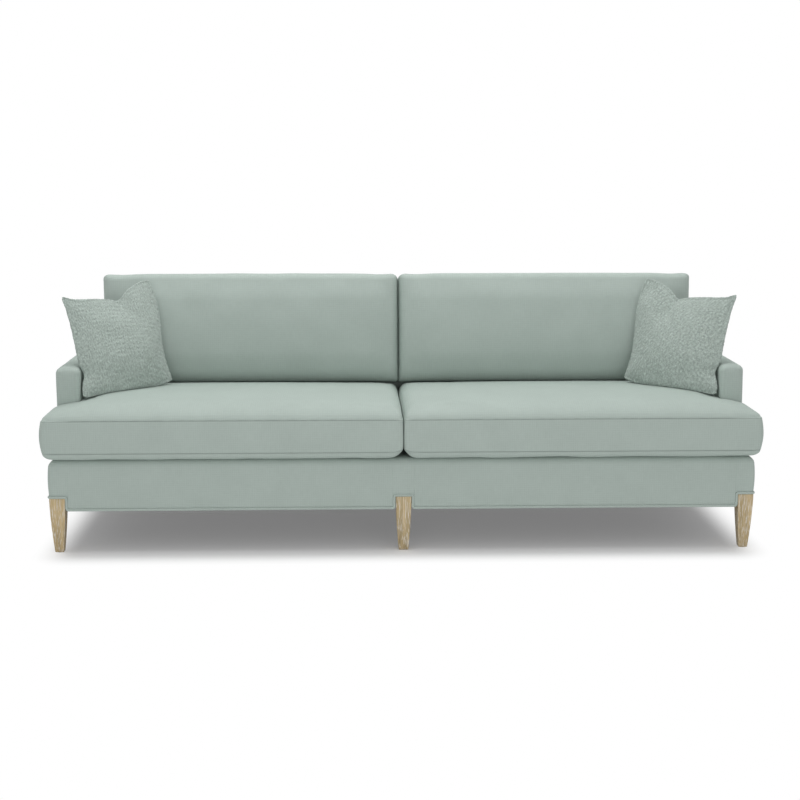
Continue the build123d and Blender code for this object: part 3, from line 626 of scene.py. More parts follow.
def seat_form(slack):
    """The right-hand seat cushion, an L whose ear stands in front of the arm; slack is left for the air."""
    inner, outer = seat_inner + 0.0004, seat_outer - seam_inset
    front, rear = seat_front + seam_inset, seat_rear - seam_inset
    arm_x, ear_y = seat_arm_x - 0.001, seat_ear_y - 0.001
    corners = [(inner, front), (outer, front), (outer, ear_y), (arm_x, ear_y), (arm_x, rear), (inner, rear)]
    radii = [0.014, 0.024, 0.012, 0.004, 0.020, 0.024]
    ear = ear_y - front
    way = ear + (outer - arm_x) + (rear - ear_y)
    turn_in = ear / way
    turn_out = (ear + outer - arm_x) / way

    def left_places(v):
        """The inner edge runs ahead in front of the ear, so that the rows meet the ear's back edge."""
        return np.interp(v, [0.0, turn_in, turn_out, 1.0], [0.0, 0.145, 0.255, 1.0])

    def upper(plan):
        x, y = plan[..., 0], plan[..., 1]
        inside = np.minimum(np.minimum(x - inner, outer - x), np.minimum(y - front, rear - y))
        return seat_height(x, y) - slack * smooth(inside / 0.12)

    def lower(plan):
        x, y = plan[..., 0], plan[..., 1]
        across, along = np.minimum((x - inner) / 0.060, (outer - x) / 0.040), np.minimum(y - front, rear - y)
        beside = np.hypot(np.maximum(arm_x - x, 0), np.maximum(ear_y - y, 0))
        round_under = np.minimum(dome(across, along, 1.0, 0.036, 3.2), arch(beside, 0.034))
        return seam_low - (seam_low - deck_height - seat_gap) * round_under

    def world(plan, height):
        near = bell(plan[..., 0] - inner, 0.018) * smooth((front + 0.080 - plan[..., 1]) / 0.070)
        full = np.sin(np.pi * np.clip((height - seam_low) / (seam_high - seam_low), 0.0, 1.0))
        ends = 0.005 * full * smooth((plan[..., 0] - outer + 0.030) / 0.030)
        height = height + 0.009 * near * smooth((seam_low + 0.030 - height) / 0.040)
        plan = plan + ends[..., None] * np.array([1.0, 0.0])
        return np.concatenate((plan, height[..., None]), axis=-1)

    return Form(corners, radii, (0, 1, 4, 5), upper, lower, 0.0030, world, left_places)


def soft_limit(value, limit, ease):
    """The higher of two values, rounded where they cross; the lower one when ease is below 0."""
    return limit + ease * np.logaddexp(0.0, (value - limit) / ease)


def seat_clear(points):
    """Keeps a seat cushion off the arm, the back, its neighbour and the deck."""
    side = np.sign(points[:, :1].mean())
    x, y, z = points[:, 0] * side, points[:, 1].copy(), points[:, 2].copy()
    x = np.maximum(x, seat_gap)
    y = np.minimum(y, seat_rear + 0.001)
    past_x, past_y = x - (seat_arm_x + seat_gap), y - (seat_ear_y + seat_gap)
    caught = (past_x > 0) & (past_y > 0)
    x = np.where(caught & (past_x <= past_y), x - past_x, x)
    y = np.where(caught & (past_x > past_y), y - past_y, y)
    top = z > seam_high
    z = np.where(top, soft_limit(z, seat_height(x, y) + 0.0008, -0.0012), z)
    z = np.maximum(z, deck_height + hair)
    return np.stack((x * side, y, z), axis=1)


def make_seat_cushions(settings):
    """Both seat cushions; the trial's lower panel lies still on the deck."""
    size = (seat_outer - seat_inner, seat_rear - seat_front, seam_high - seam_low)
    trial = ((84, 56, 9), np.s_[:], settings.seat_swell, 18.0)
    profile = (shoulder_width, shoulder_rise)
    form = seat_form(0.006)
    # line is the strength of the painted shade along the seams.
    seeds, line, fill = (11, 23), 1.0, 0.85
    cushion_pair("seat_cushion", form, trial, 0.0068, size, profile, seeds, seat_clear, line, settings)


# Back cushions

rake = math.atan(inside_rake)
back_up = np.array([0.0, math.sin(rake), math.cos(rake)])
back_out = np.array([0.0, -math.cos(rake), math.sin(rake)])
heel_height = seat_shoulder_top - heel_sink
seat_room = 0.0012 + hair  # over a seat cushion's top
seat_ease = 0.0010


def back_form(slack):
    """The right-hand back cushion: a tall panel with a deep crown, boxed all round, rounded at the top."""
    inner, outer = seat_inner + 0.0004, cushion_outer + 0.002
    high = cushion_height
    corners = [(inner, 0.004), (outer, 0.004), (outer, high), (inner, high)]
    heel_seam, face_seam, face, roll_rise = 0.045, 0.140, 0.205, 0.036
    origin = np.array([0.0, inside_y(heel_height), heel_height])
    middle = (inner + outer) / 2

    def edges(plan):
        across = np.minimum(plan[..., 0] - inner, outer - plan[..., 0])
        return across, plan[..., 1], high - plan[..., 1]

    def upper(plan):
        across, below, above = edges(plan)
        shoulder = dome(across, above, 0.026, 0.024, 3.6) * arch(below, 0.050)
        tuck = 0.042 * (1.0 - arch(below, 0.250))
        u = np.clip((plan[..., 0] - inner) / (outer - inner), 0, 1)
        v = np.clip(plan[..., 1] / high, 0, 1)
        crown = np.sin(np.pi * u) ** 0.30 * np.sin(np.pi * v) ** 0.75
        return face_seam + roll_rise * shoulder + (face - face_seam - roll_rise - slack) * crown - tuck

    def lower(plan):
        across, below, above = edges(plan)
        return heel_seam - (heel_seam - 0.0008) * dome(across, np.minimum(below, above), 0.050, 0.050, 6.0)

    def world(plan, out):
        p, q = plan[..., 0], plan[..., 1]
        rise = np.clip(q / high, 0, 1) ** 6
        across = np.minimum(p - inner, outer - p)
        bow = 0.0010 * np.sin(np.pi * np.clip((p - inner) / (outer - inner), 0, 1))
        dip = 0.0028 * bell(across - 0.070, 0.045)
        q = q + rise * (bow - dip) - 0.005 * rise
        share = smooth((p - middle) / (outer - middle))
        p = p - 0.005 * share * np.sin(np.pi * np.clip(q / high, 0, 1))
        x_way = np.array([1.0, 0.0, 0.0])
        return origin + p[..., None] * x_way + q[..., None] * back_up + out[..., None] * back_out

    return Form(corners, [0.010, 0.010, 0.028, 0.028], (0, 1, 2, 3), upper, lower, 0.0045, world)


def back_clear(points):
    """Keeps a back cushion on its seat, in front of the back and between its neighbours."""
    side = np.sign(points[:, :1].mean())
    x, y, z = points[:, 0] * side, points[:, 1].copy(), points[:, 2].copy()
    x = np.maximum(x, hair)
    z = soft_limit(z, seat_height(x, y) + seat_room, seat_ease)
    y = np.minimum(y, inside_y(z) - hair)
    return np.stack((x * side, y, z), axis=1)


def make_back_cushions(settings):
    """Both back cushions; the middle of the trial's rear panel lies still against the back."""
    size = (cushion_outer - seat_inner, cushion_height, 0.095)
    trial = ((80, 34, 9), np.s_[6:-6, 6:-6], settings.back_swell, 14.0)
    profile = (0.026, 0.032)
    form = back_form(0.008)
    # line is the strength of the painted shade along the seams, fainter than on the seat.
    seeds, line, fill = (31, 47), 0.35, 0.75
    cushion_pair("back_cushion", form, trial, 0.0066, size, profile, seeds, back_clear, line, settings)


# Throw pillows

pillow_width, pillow_height, pillow_half = 0.420, 0.375, 0.070
pillow_yaw, pillow_lean = math.radians(50.0), math.radians(15.0)
pillow_along = np.array([math.cos(pillow_yaw), math.sin(pillow_yaw), 0.0])
pillow_level = np.array([math.sin(pillow_yaw), -math.cos(pillow_yaw), 0.0])
pillow_face = pillow_level * math.cos(pillow_lean) + np.array([0.0, 0.0, math.sin(pillow_lean)])
pillow_up = np.cross(pillow_face, pillow_along)
pillow_corner = np.array([-(arm_inside - 0.020), arm_front + 0.017, seat_shoulder_top - 0.002])
chop_place, chop_depth = 0.60, 0.056


def chop_line(a):
    """Share of the chop along a pillow's upper edge: a long slack fall to the fold, then a steep rise."""
    near = np.linspace(-0.035, 0.035, 9)
    place_at = np.clip(a[..., None] + near, 0.0, 1.0)
    fall = np.clip(place_at / chop_place, 0.0, 1.0)
    rise = np.clip((1.0 - place_at) / (1.0 - chop_place), 0.0, 1.0)
    line = np.where(place_at < chop_place, 0.7 * fall**0.6 + 0.3 * fall**5, rise**2.4)
    share = np.cos(near / 0.035 * np.pi / 2.2)
    return (line * share).sum(axis=-1) / share.sum() * np.clip(np.minimum(a, 1.0 - a) / 0.03, 0.0, 1.0)


def pillow_edges(a, b):
    """A pillow's four sewn edges on its own plane: lower and upper along a, left and right along b."""
    lower = stack(-0.011 + 0.424 * a, 0.014 + 0.010 * a - 0.020 * np.sin(np.pi * a) ** 0.6)
    upper = stack(-0.012 + 0.411 * a, 0.365 + 0.036 * a - chop_depth * chop_line(a))
    pressed = 0.016 * bell(b - 0.21, 0.085)
    left = stack(-0.011 - 0.001 * b + 0.014 * np.sin(np.pi * b) ** 0.7 + pressed, 0.014 + 0.351 * b)
    spur = np.array([-0.007, 0.009])
    upper = upper + spur * bell(a, 0.065)[..., None]
    left = left + spur * bell(1.0 - b, 0.075)[..., None]
    wave = 0.012 * np.sin(2.0 * np.pi * (b - 0.5))
    right = stack(0.413 - 0.014 * b + wave, 0.024 + 0.377 * b)
    return lower, upper, left, right


def pillow_charts(u, v, half):
    """The left-hand pillow: two panels over four blended edges, plump inside, with a fold below the chop."""
    lower, upper, left, right = pillow_edges(u, v)
    a, b = u[None, :, None], v[:, None, None]
    corner = (1 - a) * ((1 - b) * lower[0] + b * upper[0]) + a * ((1 - b) * lower[-1] + b * upper[-1])
    plan = (1 - b) * lower[None] + b * upper[None] + (1 - a) * left[:, None] + a * right[:, None] - corner
    slant = 0.7
    for tip, blunt, across, along in (
        (upper[0], 0.0110, slant, -slant),
        (lower[0], 0.004, slant, slant),
        (upper[-1], 0.004, -slant, -slant),
        (lower[-1], 0.001, -slant, slant),
    ):
        near = bell(np.linalg.norm(plan - tip, axis=-1), 0.013)
        plan = plan + blunt * near[..., None] * np.array([across, along])
    p, q = plan[..., 0], plan[..., 1]
    plump = (np.sin(np.pi * u) ** 0.62)[None, :] * (np.sin(np.pi * v**0.70) ** 0.66)[:, None]
    fold = chop_place + 0.32 * (1.0 - v[:, None])
    crease = 1.0 - 0.42 * bell(u[None, :] - fold, 0.085) * smooth((v[:, None] - 0.55) / 0.40)
    rise = half * plump * crease
    made = []
    for way in (1.0, -1.0):
        points = (
            pillow_corner
            + p[..., None] * pillow_along
            + q[..., None] * pillow_up
            + way * rise[..., None] * pillow_face
        )
        made.append(Chart(points, plan, flip=way < 0))
    return made


def arm_push(points, side, room):
    """Moves points out of one arm, taken as a box with rounded edges, along the shortest way."""
    centre = np.array([side * (half_base + arm_inside) / 2, 0.6 + arm_front, arm_top - 0.3])
    reach = np.array([(half_base - arm_inside) / 2, 0.6, 0.3]) - arm_roll
    gap = points - centre
    outside = np.abs(gap) - reach
    far_out = np.maximum(outside, 0.0)
    deep = np.minimum(outside.max(axis=1), 0.0)
    distance = np.linalg.norm(far_out, axis=1) + deep - arm_roll
    way = far_out * np.sign(gap)
    none = np.linalg.norm(way, axis=1) < 1e-7
    nearest = np.eye(3)[outside.argmax(axis=1)] * np.sign(gap)
    way = unit(np.where(none[:, None], nearest, way))
    return points + way * np.maximum(room - distance, 0.0)[:, None]


def pillow_clear(points):
    """Keeps a pillow on its seat and off its arm."""
    side = np.sign(points[:, :1].mean())
    points = arm_push(points, side, 0.0015)
    floor = seat_height(points[:, 0], points[:, 1]) + seat_room
    over = np.abs(points[:, 0]) < seat_arm_x + 0.004
    points[:, 2] = np.where(over, soft_limit(points[:, 2], floor, seat_ease), points[:, 2])
    return points


def make_throw_pillows(settings):
    """Both pillows: one trial with air in it, then nubs all over and a rolled seam round the edge."""
    shifts = None
    start = 0.052
    charts = pillow_charts(even(46), even(40), start)
    held = [np.zeros(chart.points.shape[:2]) for chart in charts]
    for still in held:
        still[[0, -1]] = still[:, [0, -1]] = 1.0
    shifts = inflated(charts, held, settings.cloth_pressure, settings.pillow_swell, 10.0)
    u = between(pillow_width, 0.0024, (0.0012, 0.0026))
    v = between(pillow_height, 0.0024, (0.0012, 0.0026))
    for side, seed in (("left", 61), ("right", 71)):
        charts = pillow_charts(u, v, start)
        relief = []
        for number, chart in enumerate(charts):
            distance = panel_distance(u, v, pillow_width, pillow_height)
            if shifts is not None:
                free = 0.12 + 0.88 * smooth(distance / 0.045)
                chart.points = chart.points + carry(shifts[number], v, u) * free[..., None]
            edge = 0.0016 * bell(distance, 0.004) - 0.0014 * bell(distance - 0.009, 0.004)
            slack = 0.0022 * ripple(chart.points, 0.13, seed, 16) * smooth(distance / 0.05)
            relief.append(edge + slack)
            if side == "right":
                chart.mirror()
        name = f"throw_pillow_{side}"
        pillow, joined = mesh_object(name, charts)
        loops = nubs(coordinates(pillow.data), settings.nub_size, seed)
        pillow.data.attributes.new("loop", "FLOAT", "POINT").data.foreach_set("value", loops)
        lift(pillow, by_vertex(pillow, joined, relief) + settings.nub_height * loops, pillow_clear)
        nodes = (f"throw_pillow_cover_{side}", f"throw_pillow_core_{side}")
        dress(pillow, boucle_fabric(settings), name, "boucle_fabric", *nodes)


def nubs(points, size, seed):
    """Uneven looped yarn: the higher of two fields of rounded bumps of two sizes, longer upwards."""
    stretched = points * np.array([1.0, 1.0, 0.62])
    fields = [ripple(stretched, size * scale, seed + k, waves=26) for k, scale in enumerate((1.0, 1.5))]
    return np.clip(np.maximum(*fields), -0.8, 1.6) - 0.3


# Fixed covers: the base, the arms and the back

half_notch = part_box("front_leg_middle")[1].x + leg_gap
corner_notch = half_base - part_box("front_leg_right")[0].x + leg_gap


def hem(past):
    """Lower edge of a cover: low outside a notch, and over a leg as far past the notch's edge as given."""
    into = np.clip(past, 0.0, notch_round)
    over = leg_top - notch_round + np.sqrt(np.maximum(notch_round**2 - (notch_round - into) ** 2, 0.0))
    return np.where(past < 0.0, skirt_edge, over)


def past_row(x):
    """How far a place on the front or rear wall is past the nearest notch's edge; below 0 outside."""
    return np.maximum(half_notch - np.abs(x), np.abs(x) - (half_base - corner_notch))


# Places across the edge of a notch, from outside it to where its corner is past
step_edge = np.array([-0.0060, -0.0020, -4e-5, 4e-5, 0.0004, 0.0013, 0.0027, 0.0048, 0.0075, notch_round])


def row_places(half, step):
    """Places across the front or rear wall, close together at the edges of the notches."""
    even_places = np.linspace(-half, half, int(round(2 * half / step)) + 1)
    corner = half_base - corner_notch
    edges = np.concatenate((half_notch - step_edge, corner + step_edge))
    return np.unique(np.round(np.concatenate((even_places, edges, -edges)), 7))


def make_base_cover(settings):
    """Front border: one section with a rolled top edge, carried along the left, the front and the right."""
    end = arm_front + 0.006
    turn = np.linspace(0.0, np.pi / 2, 9)
    straight = np.linspace(base_front + base_corner, end, 24)
    side_places = np.unique(np.round(np.concatenate((straight, base_front + corner_notch - step_edge)), 7))
    front_places = row_places(half_base - base_corner, 0.012)
    front_places = front_places[np.abs(front_places) <= half_base - base_corner + 1e-9]

    tuck = np.array([0.012, 0.0018, 0.0004])
    face = np.linspace(0.0, 1.0, 15)
    roll = np.linspace(0.0, np.pi / 2, 12)[1:]
    top = front_roll + np.array([0.006, 0.020, 0.050, 0.080])
    swollen = 0.0024 * np.sin(np.pi * face) ** 0.8
    inset = np.concatenate((tuck, -swollen, front_roll * (1 - np.cos(roll)), top))[:, None]
    radius = np.maximum(base_corner, inset)

    def run(kind, places):
        """One stretch of the route for every row: its plan, and how far it is past a notch's edge."""
        if kind == "side":
            y = end + (places - end) * (base_front + radius - end) / (base_front + base_corner - end)
            return half_base - inset + 0 * y, y, np.broadcast_to(base_front + corner_notch - places, y.shape)
        if kind == "corner":
            x = half_base - radius + (radius - inset) * np.cos(places)
            y = base_front + radius - (radius - inset) * np.sin(places)
            return x, y, np.broadcast_to(corner_notch * np.ones_like(places), x.shape)
        x = places * (half_base - radius) / (half_base - base_corner)
        return x, base_front + inset + 0 * x, np.broadcast_to(past_row(places), x.shape)

    side, corner, front = run("side", side_places), run("corner", turn[1:-1]), run("front", front_places)
    left_side = [way * row[:, ::-1] for way, row in zip((-1.0, 1.0, 1.0), side)]
    left_corner = (-corner[0], *corner[1:])
    right_corner = [row[:, ::-1] for row in corner]
    stretches = (left_side, left_corner, front, right_corner, side)
    x, y, past = (np.concatenate(rows, axis=1) for rows in zip(*stretches))
    low = hem(past)
    wall_top = deck_height - front_roll
    heights = np.concatenate(
        (
            np.array([0.0, 0.0, 0.0006])[:, None] + low[:3],
            low[:1] + 0.0016 + (wall_top - low[:1] - 0.0016) * face[:, None],
            wall_top + front_roll * np.sin(roll)[:, None] + 0 * low[: len(roll)],
            deck_height + np.array([0.0004, 0.0004, -0.0005, -0.003])[:, None] + 0 * low[:4],
        )
    )
    drop = np.concatenate((heights[:-4], heights[-4:] + inset[-4:]))
    cloth = stack(run_length(stack(x[4], y[4])), drop)
    base, _ = mesh_object("base_cover", [Chart(stack(x, y, heights), cloth)])
    soften(base, 0.0006, 0.22, 83, 0.06)
    dress(base, body_fabric(settings), "frame", "body_fabric", "base_front_cover", "front_border_pad")


def across_ring(ring, places):
    """A panel that closes a row of points: straight lines from its first half to its second, in reverse."""
    half = len(ring) // 2 + 1
    near, off = ring[:half], ring[::-1][:half]
    return near[:, None, :] + (off - near)[:, None, :] * places[None, :, None]


def make_arm_covers(settings):
    """Each arm: its front outline carried forwards, round the front edge and closed by a front panel."""
    turn = np.linspace(0.0, np.pi / 2, 9)[1:]
    wall = even(34)
    across = even(9)[1:]
    back_rows = even(50)
    inset = np.concatenate((np.zeros(len(back_rows)), arm_roll * (1 - np.cos(turn))))[:, None]
    radius = np.maximum(arm_roll, inset)
    left = radius - inset
    top = arm_top - radius
    crown = 0.0015 * np.sin(np.pi * across)
    x = np.concatenate(
        (
            half_base - inset + 0 * wall,
            half_base - radius + left * np.cos(turn),
            (half_base - radius) + (arm_inside - half_base + 2 * radius) * across,
            arm_inside + radius - left * np.sin(turn),
            arm_inside + inset + 0 * wall[1:],
        ),
        axis=1,
    )
    z = np.concatenate(
        (
            skirt_edge + (top - skirt_edge) * wall,
            top + left * np.sin(turn),
            arm_top - inset + crown,
            top + left * np.cos(turn),
            top + (skirt_edge - top) * wall[1:],
        ),
        axis=1,
    )
    rear = inside_y(z) + 0.012
    front = arm_front + arm_roll
    y_straight = rear[: len(back_rows)] + (front - rear[: len(back_rows)]) * back_rows[:, None]
    y_turn = (arm_front + arm_roll * (1 - np.sin(turn)))[:, None] + 0 * z[len(back_rows):]
    y = np.concatenate((y_straight, y_turn))
    points = stack(x, y, z)
    cloth = stack(run_length(stack(x[0], z[0])), -y)
    places = even(21)
    panel = across_ring(points[-1], places)
    panel[..., 1] -= 0.0016 * np.sin(np.pi * places)[None, :] ** 2 * smooth((arm_top - panel[..., 2]) / 0.06)
    for side, way in (("right", 1.0), ("left", -1.0)):
        turned = np.array([way, 1.0, 1.0])
        charts = [
            Chart(points * turned, cloth, flip=way < 0),
            Chart(panel * turned, panel[..., [0, 2]], flip=way > 0),
        ]
        arm, _ = mesh_object(f"arm_{side}", charts)
        soften(arm, 0.0005, 0.20, 91 + int(way), 0.08)
        dress(arm, body_fabric(settings), "frame", "body_fabric", f"arm_cover_{side}", f"arm_pad_{side}")


def make_back_cover(settings):
    """The back: its side outline carried from end to end, rolled at the upper corners, with end panels."""
    end_round = 0.008
    ends = np.concatenate(([0.0, 0.0004, 0.0015, 0.0032, 0.0055, 0.008], np.linspace(0.012, back_roll, 5)))
    middle = row_places(half_base - back_roll - 0.004, 0.020)
    places = np.unique(np.round(np.concatenate((half_base - ends, ends - half_base, middle)), 7))
    from_end = np.clip(half_base - np.abs(places), 0.0, None)[:, None]
    short = np.clip(end_round - from_end, 0.0, None)
    inset = end_round - np.sqrt(np.maximum(end_round**2 - short**2, 0.0))
    low_corner = np.clip(back_roll - from_end, 0.0, None)
    top = back_top - back_roll + np.sqrt(np.maximum(back_roll**2 - low_corner**2, 0.0))
    high = top - back_roll
    wall = even(40)
    turn = np.linspace(0.0, np.pi / 2, 10)[1:]
    across = even(11)[1:]
    foot_in = np.where(np.abs(places) > arm_inside, skirt_edge, deck_height - 0.02)[:, None]
    foot_out = hem(past_row(places))[:, None]
    at_in, at_out = inside_y(high) + inset, outside_y(high) - inset
    roll_in = back_roll * (1 - np.cos(turn))
    rise = back_roll * np.sin(turn)
    crown = 0.003 * np.sin(np.pi * across)
    z = np.concatenate(
        (
            foot_in + (high - foot_in) * wall,
            high + rise,
            top + crown,
            high + rise[::-1][1:],
            high + (foot_out - high) * wall,
        ),
        axis=1,
    )
    flat_in, flat_out = at_in + back_roll, at_out - back_roll
    count = len(wall)
    y = np.concatenate(
        (
            inside_y(z[:, :count]) + inset,
            at_in + roll_in,
            flat_in + (flat_out - flat_in) * across,
            at_out - roll_in[::-1][1:],
            outside_y(z[:, -count:]) - inset,
        ),
        axis=1,
    )
    points = stack(places[:, None], y, z)
    halfway = len(places) // 2
    cloth = stack(places[:, None], run_length(points[halfway, :, 1:]))
    charts = [Chart(points, cloth, flip=True)]
    step_y = outside_y(leg_top) - corner_notch
    for ring, flip in ((points[0], True), (points[-1], False)):
        width = ring[-1, 1] - ring[0, 1]
        step = (step_y - ring[0, 1]) / width
        parts = np.unique(np.clip(np.concatenate((even(15), step + step_edge / width)), 0, 1))
        panel = across_ring(ring, parts)
        foot = hem(ring[0, 1] + width * parts - step_y)
        height = panel[count - 1, :, 2] - panel[0, :, 2]
        share = 1.0 - np.clip((panel[..., 2] - panel[:1, :, 2]) / height, 0, 1)
        panel[..., 2] += share * (foot - panel[0, :, 2])[None, :]
        charts.append(Chart(panel, panel[..., 1:], flip=flip))
    back, _ = mesh_object("back", charts)
    soften(back, 0.0007, 0.24, 97, 0.08)
    dress(back, body_fabric(settings), "frame", "body_fabric", "back_cover", "inside_back_pad")


def make_deck(settings):
    """Lining cloth stretched over the seat springs: a level sheet with a low swell over its padding."""
    front, rear = base_front + front_roll + 0.055, inside_y(deck_height) + 0.004
    v = np.unique(np.concatenate((np.linspace(front, rear, 60), [arm_front - 0.003, arm_front - 0.002])))
    half = np.where(v < arm_front - 0.0025, half_base - front_roll - 0.055, arm_inside + 0.004)
    u = np.linspace(-1.0, 1.0, 140)
    x = half[:, None] * u[None, :]
    y = v[:, None] + 0 * x
    z = deck_height - 0.0012 + 0.0006 * np.cos(u * np.pi / 2)[None, :] + 0 * y
    deck, _ = mesh_object("seat_deck", [Chart(stack(x, y, z), stack(x, y))])
    dress(deck, lining(settings), "frame", "decking_cloth", "deck_cover", "deck_pad", "spring_insulator")
    float(cloth_area(x, y))


def cloth_area(x, y):
    """Area of a flat grid of quads."""
    across = (x[:-1, -1] - x[:-1, 0] + x[1:, -1] - x[1:, 0]) / 2
    return np.abs(across * np.diff(y[:, 0])).sum()


leg_names = [f"{row}_leg_{spot}" for row in ("front", "rear") for spot in ("left", "middle", "right")]


def make_dust_cover(settings):
    """Thin black cloth tacked under the frame, with a square cut out at each leg; it sags a little."""
    low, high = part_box("dust_cover")
    legs = [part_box(name) for name in leg_names]
    room = 0.002
    x_lines = np.concatenate([[leg[0].x - room, leg[1].x + room] for leg in legs])
    y_lines = np.concatenate([[leg[0].y - room, leg[1].y + room] for leg in legs])
    x = np.unique(np.round(np.concatenate((np.linspace(low.x, high.x, 60), x_lines)), 6))
    y = np.unique(np.round(np.concatenate((np.linspace(low.y, high.y, 24), y_lines)), 6))
    x = x[(x >= low.x - 1e-6) & (x <= high.x + 1e-6)]
    y = y[(y >= low.y - 1e-6) & (y <= high.y + 1e-6)]
    across, along = np.meshgrid(x, y)
    width, depth = high.x - low.x, high.y - low.y
    sag = np.cos(np.pi * across / width) * np.cos(np.pi * (along - (low.y + high.y) / 2) / depth)
    points = stack(across, along, low.z - 0.0045 * np.clip(sag, 0, 1))
    mid_x, mid_y = np.meshgrid((x[1:] + x[:-1]) / 2, (y[1:] + y[:-1]) / 2)
    kept = np.ones(mid_x.shape, bool)
    for leg in legs:
        inside = (np.abs(mid_x - (leg[0].x + leg[1].x) / 2) < (leg[1].x - leg[0].x) / 2 + room) & (
            np.abs(mid_y - (leg[0].y + leg[1].y) / 2) < (leg[1].y - leg[0].y) / 2 + room
        )
        kept &= ~inside
    quads = grid_quads(len(y), len(x), 0, True)[kept.ravel()]
    used, quads = np.unique(quads, return_inverse=True)
    mesh = bpy.data.meshes.new("dust_sheet")
    mesh.from_pydata(points.reshape(-1, 3)[used], [], quads.reshape(-1, 4))
    mesh.polygons.foreach_set("use_smooth", np.ones(len(mesh.polygons), bool))
    mesh.update()
    sheet = link("dust_sheet", mesh)
    dress(sheet, plain_cloth("cambric", (0.030, 0.030, 0.032), 900.0), "frame", "cambric", "dust_cover")


# Welt and legs


def eased_route(corners, radius, arc_points=7):
    """A closed route in space whose corners are arcs, with short steps along its straight runs."""
    corners = np.asarray(corners, float)
    before = unit(np.roll(corners, 1, axis=0) - corners)
    after = unit(np.roll(corners, -1, axis=0) - corners)
    half = 0.5 * np.arccos(np.clip((before * after).sum(axis=1), -1, 1))
    bisector = unit(before + after)
    centre = corners + bisector * (radius / np.sin(half))[:, None]
    swing = np.pi / 2 - half
    angle = swing[:, None] * np.linspace(-1.0, 1.0, arc_points)[None, :]
    side = unit(after - before)
    arcs = centre[:, None] + radius * (
        np.sin(angle)[..., None] * side[:, None] - np.cos(angle)[..., None] * bisector[:, None]
    )
    starts, stops = arcs[:, -1], np.roll(arcs[:, 0], -1, axis=0)
    run = even(40)[1:-1]
    runs = starts[:, None] + (stops - starts)[:, None] * run[None, :, None]
    return np.concatenate((arcs, runs), axis=1).reshape(-1, 3)


def make_welt(settings):
    """Piping along the skirt: a circle carried along the hem, up and over every leg."""
    radius = settings.welt_radius
    drop = 0.0047
    low, high = skirt_edge - drop, leg_top - drop
    corner_x = half_base - corner_notch + drop
    middle_x = half_notch - drop
    inset = 0.001
    side_x = half_base - inset
    front_y = base_front + inset
    front_step = base_front + corner_notch - drop
    rear_step = outside_y(leg_top) - corner_notch + drop
    half = [(-corner_x, high), (-corner_x, low), (-middle_x, low), (-middle_x, high)]
    row = [(-side_x, high), *half, *[(-a, b) for a, b in reversed(half)], (side_x, high)]
    steps = ((front_step, high), (front_step, low), (rear_step, low), (rear_step, high))
    right = [(side_x, y, z) for y, z in steps]
    route = [(a, front_y, b) for a, b in row] + right
    route += [(a, outside_y(b) - inset, b) for a, b in reversed(row)]
    route += [(-a, b, c) for a, b, c in reversed(right)]
    line = eased_route(route, 0.0062)
    line = np.vstack((line, line[:1]))
    way = np.vstack((line[1:] - line[:-1], line[1:2] - line[:1]))
    way = way + np.roll(way, 1, axis=0)
    way[0] = way[-1] = line[1] - line[-2]
    way = unit(way)
    bend = 0.007
    beside = smooth((np.abs(line[:, 0]) - side_x + bend) / bend)
    depth_middle = (front_y + outside_y(leg_top)) / 2
    ahead = np.where(line[:, 1] < depth_middle, line[:, 1] - front_y, outside_y(line[:, 2]) - line[:, 1])
    facing = smooth((bend - ahead) / bend) * np.sign(line[:, 1] - depth_middle)
    out = stack(beside * np.sign(line[:, 0]), facing, 0.0)
    out = unit(out - (out * way).sum(axis=1)[:, None] * way)
    other = np.cross(way, out)
    angle = np.linspace(0.0, 2.0 * np.pi, 17)
    length = run_length(line)
    thick = radius * (1.0 + 0.02 * np.cos(length * 2 * np.pi / 0.031))[:, None, None]
    tube = line[:, None] + thick * (
        np.cos(angle)[None, :, None] * out[:, None] + np.sin(angle)[None, :, None] * other[:, None]
    )
    tube[-1] = tube[0]
    cloth = stack(length[:, None], angle * radius)
    turned = (cloth @ np.array([[1.0, 1.0], [-1.0, 1.0]])) * math.sqrt(0.5)
    welt, _ = mesh_object("skirt_welt", [Chart(tube, turned)])
    dress(welt, body_fabric(settings), "frame", "body_fabric", "base_welt")


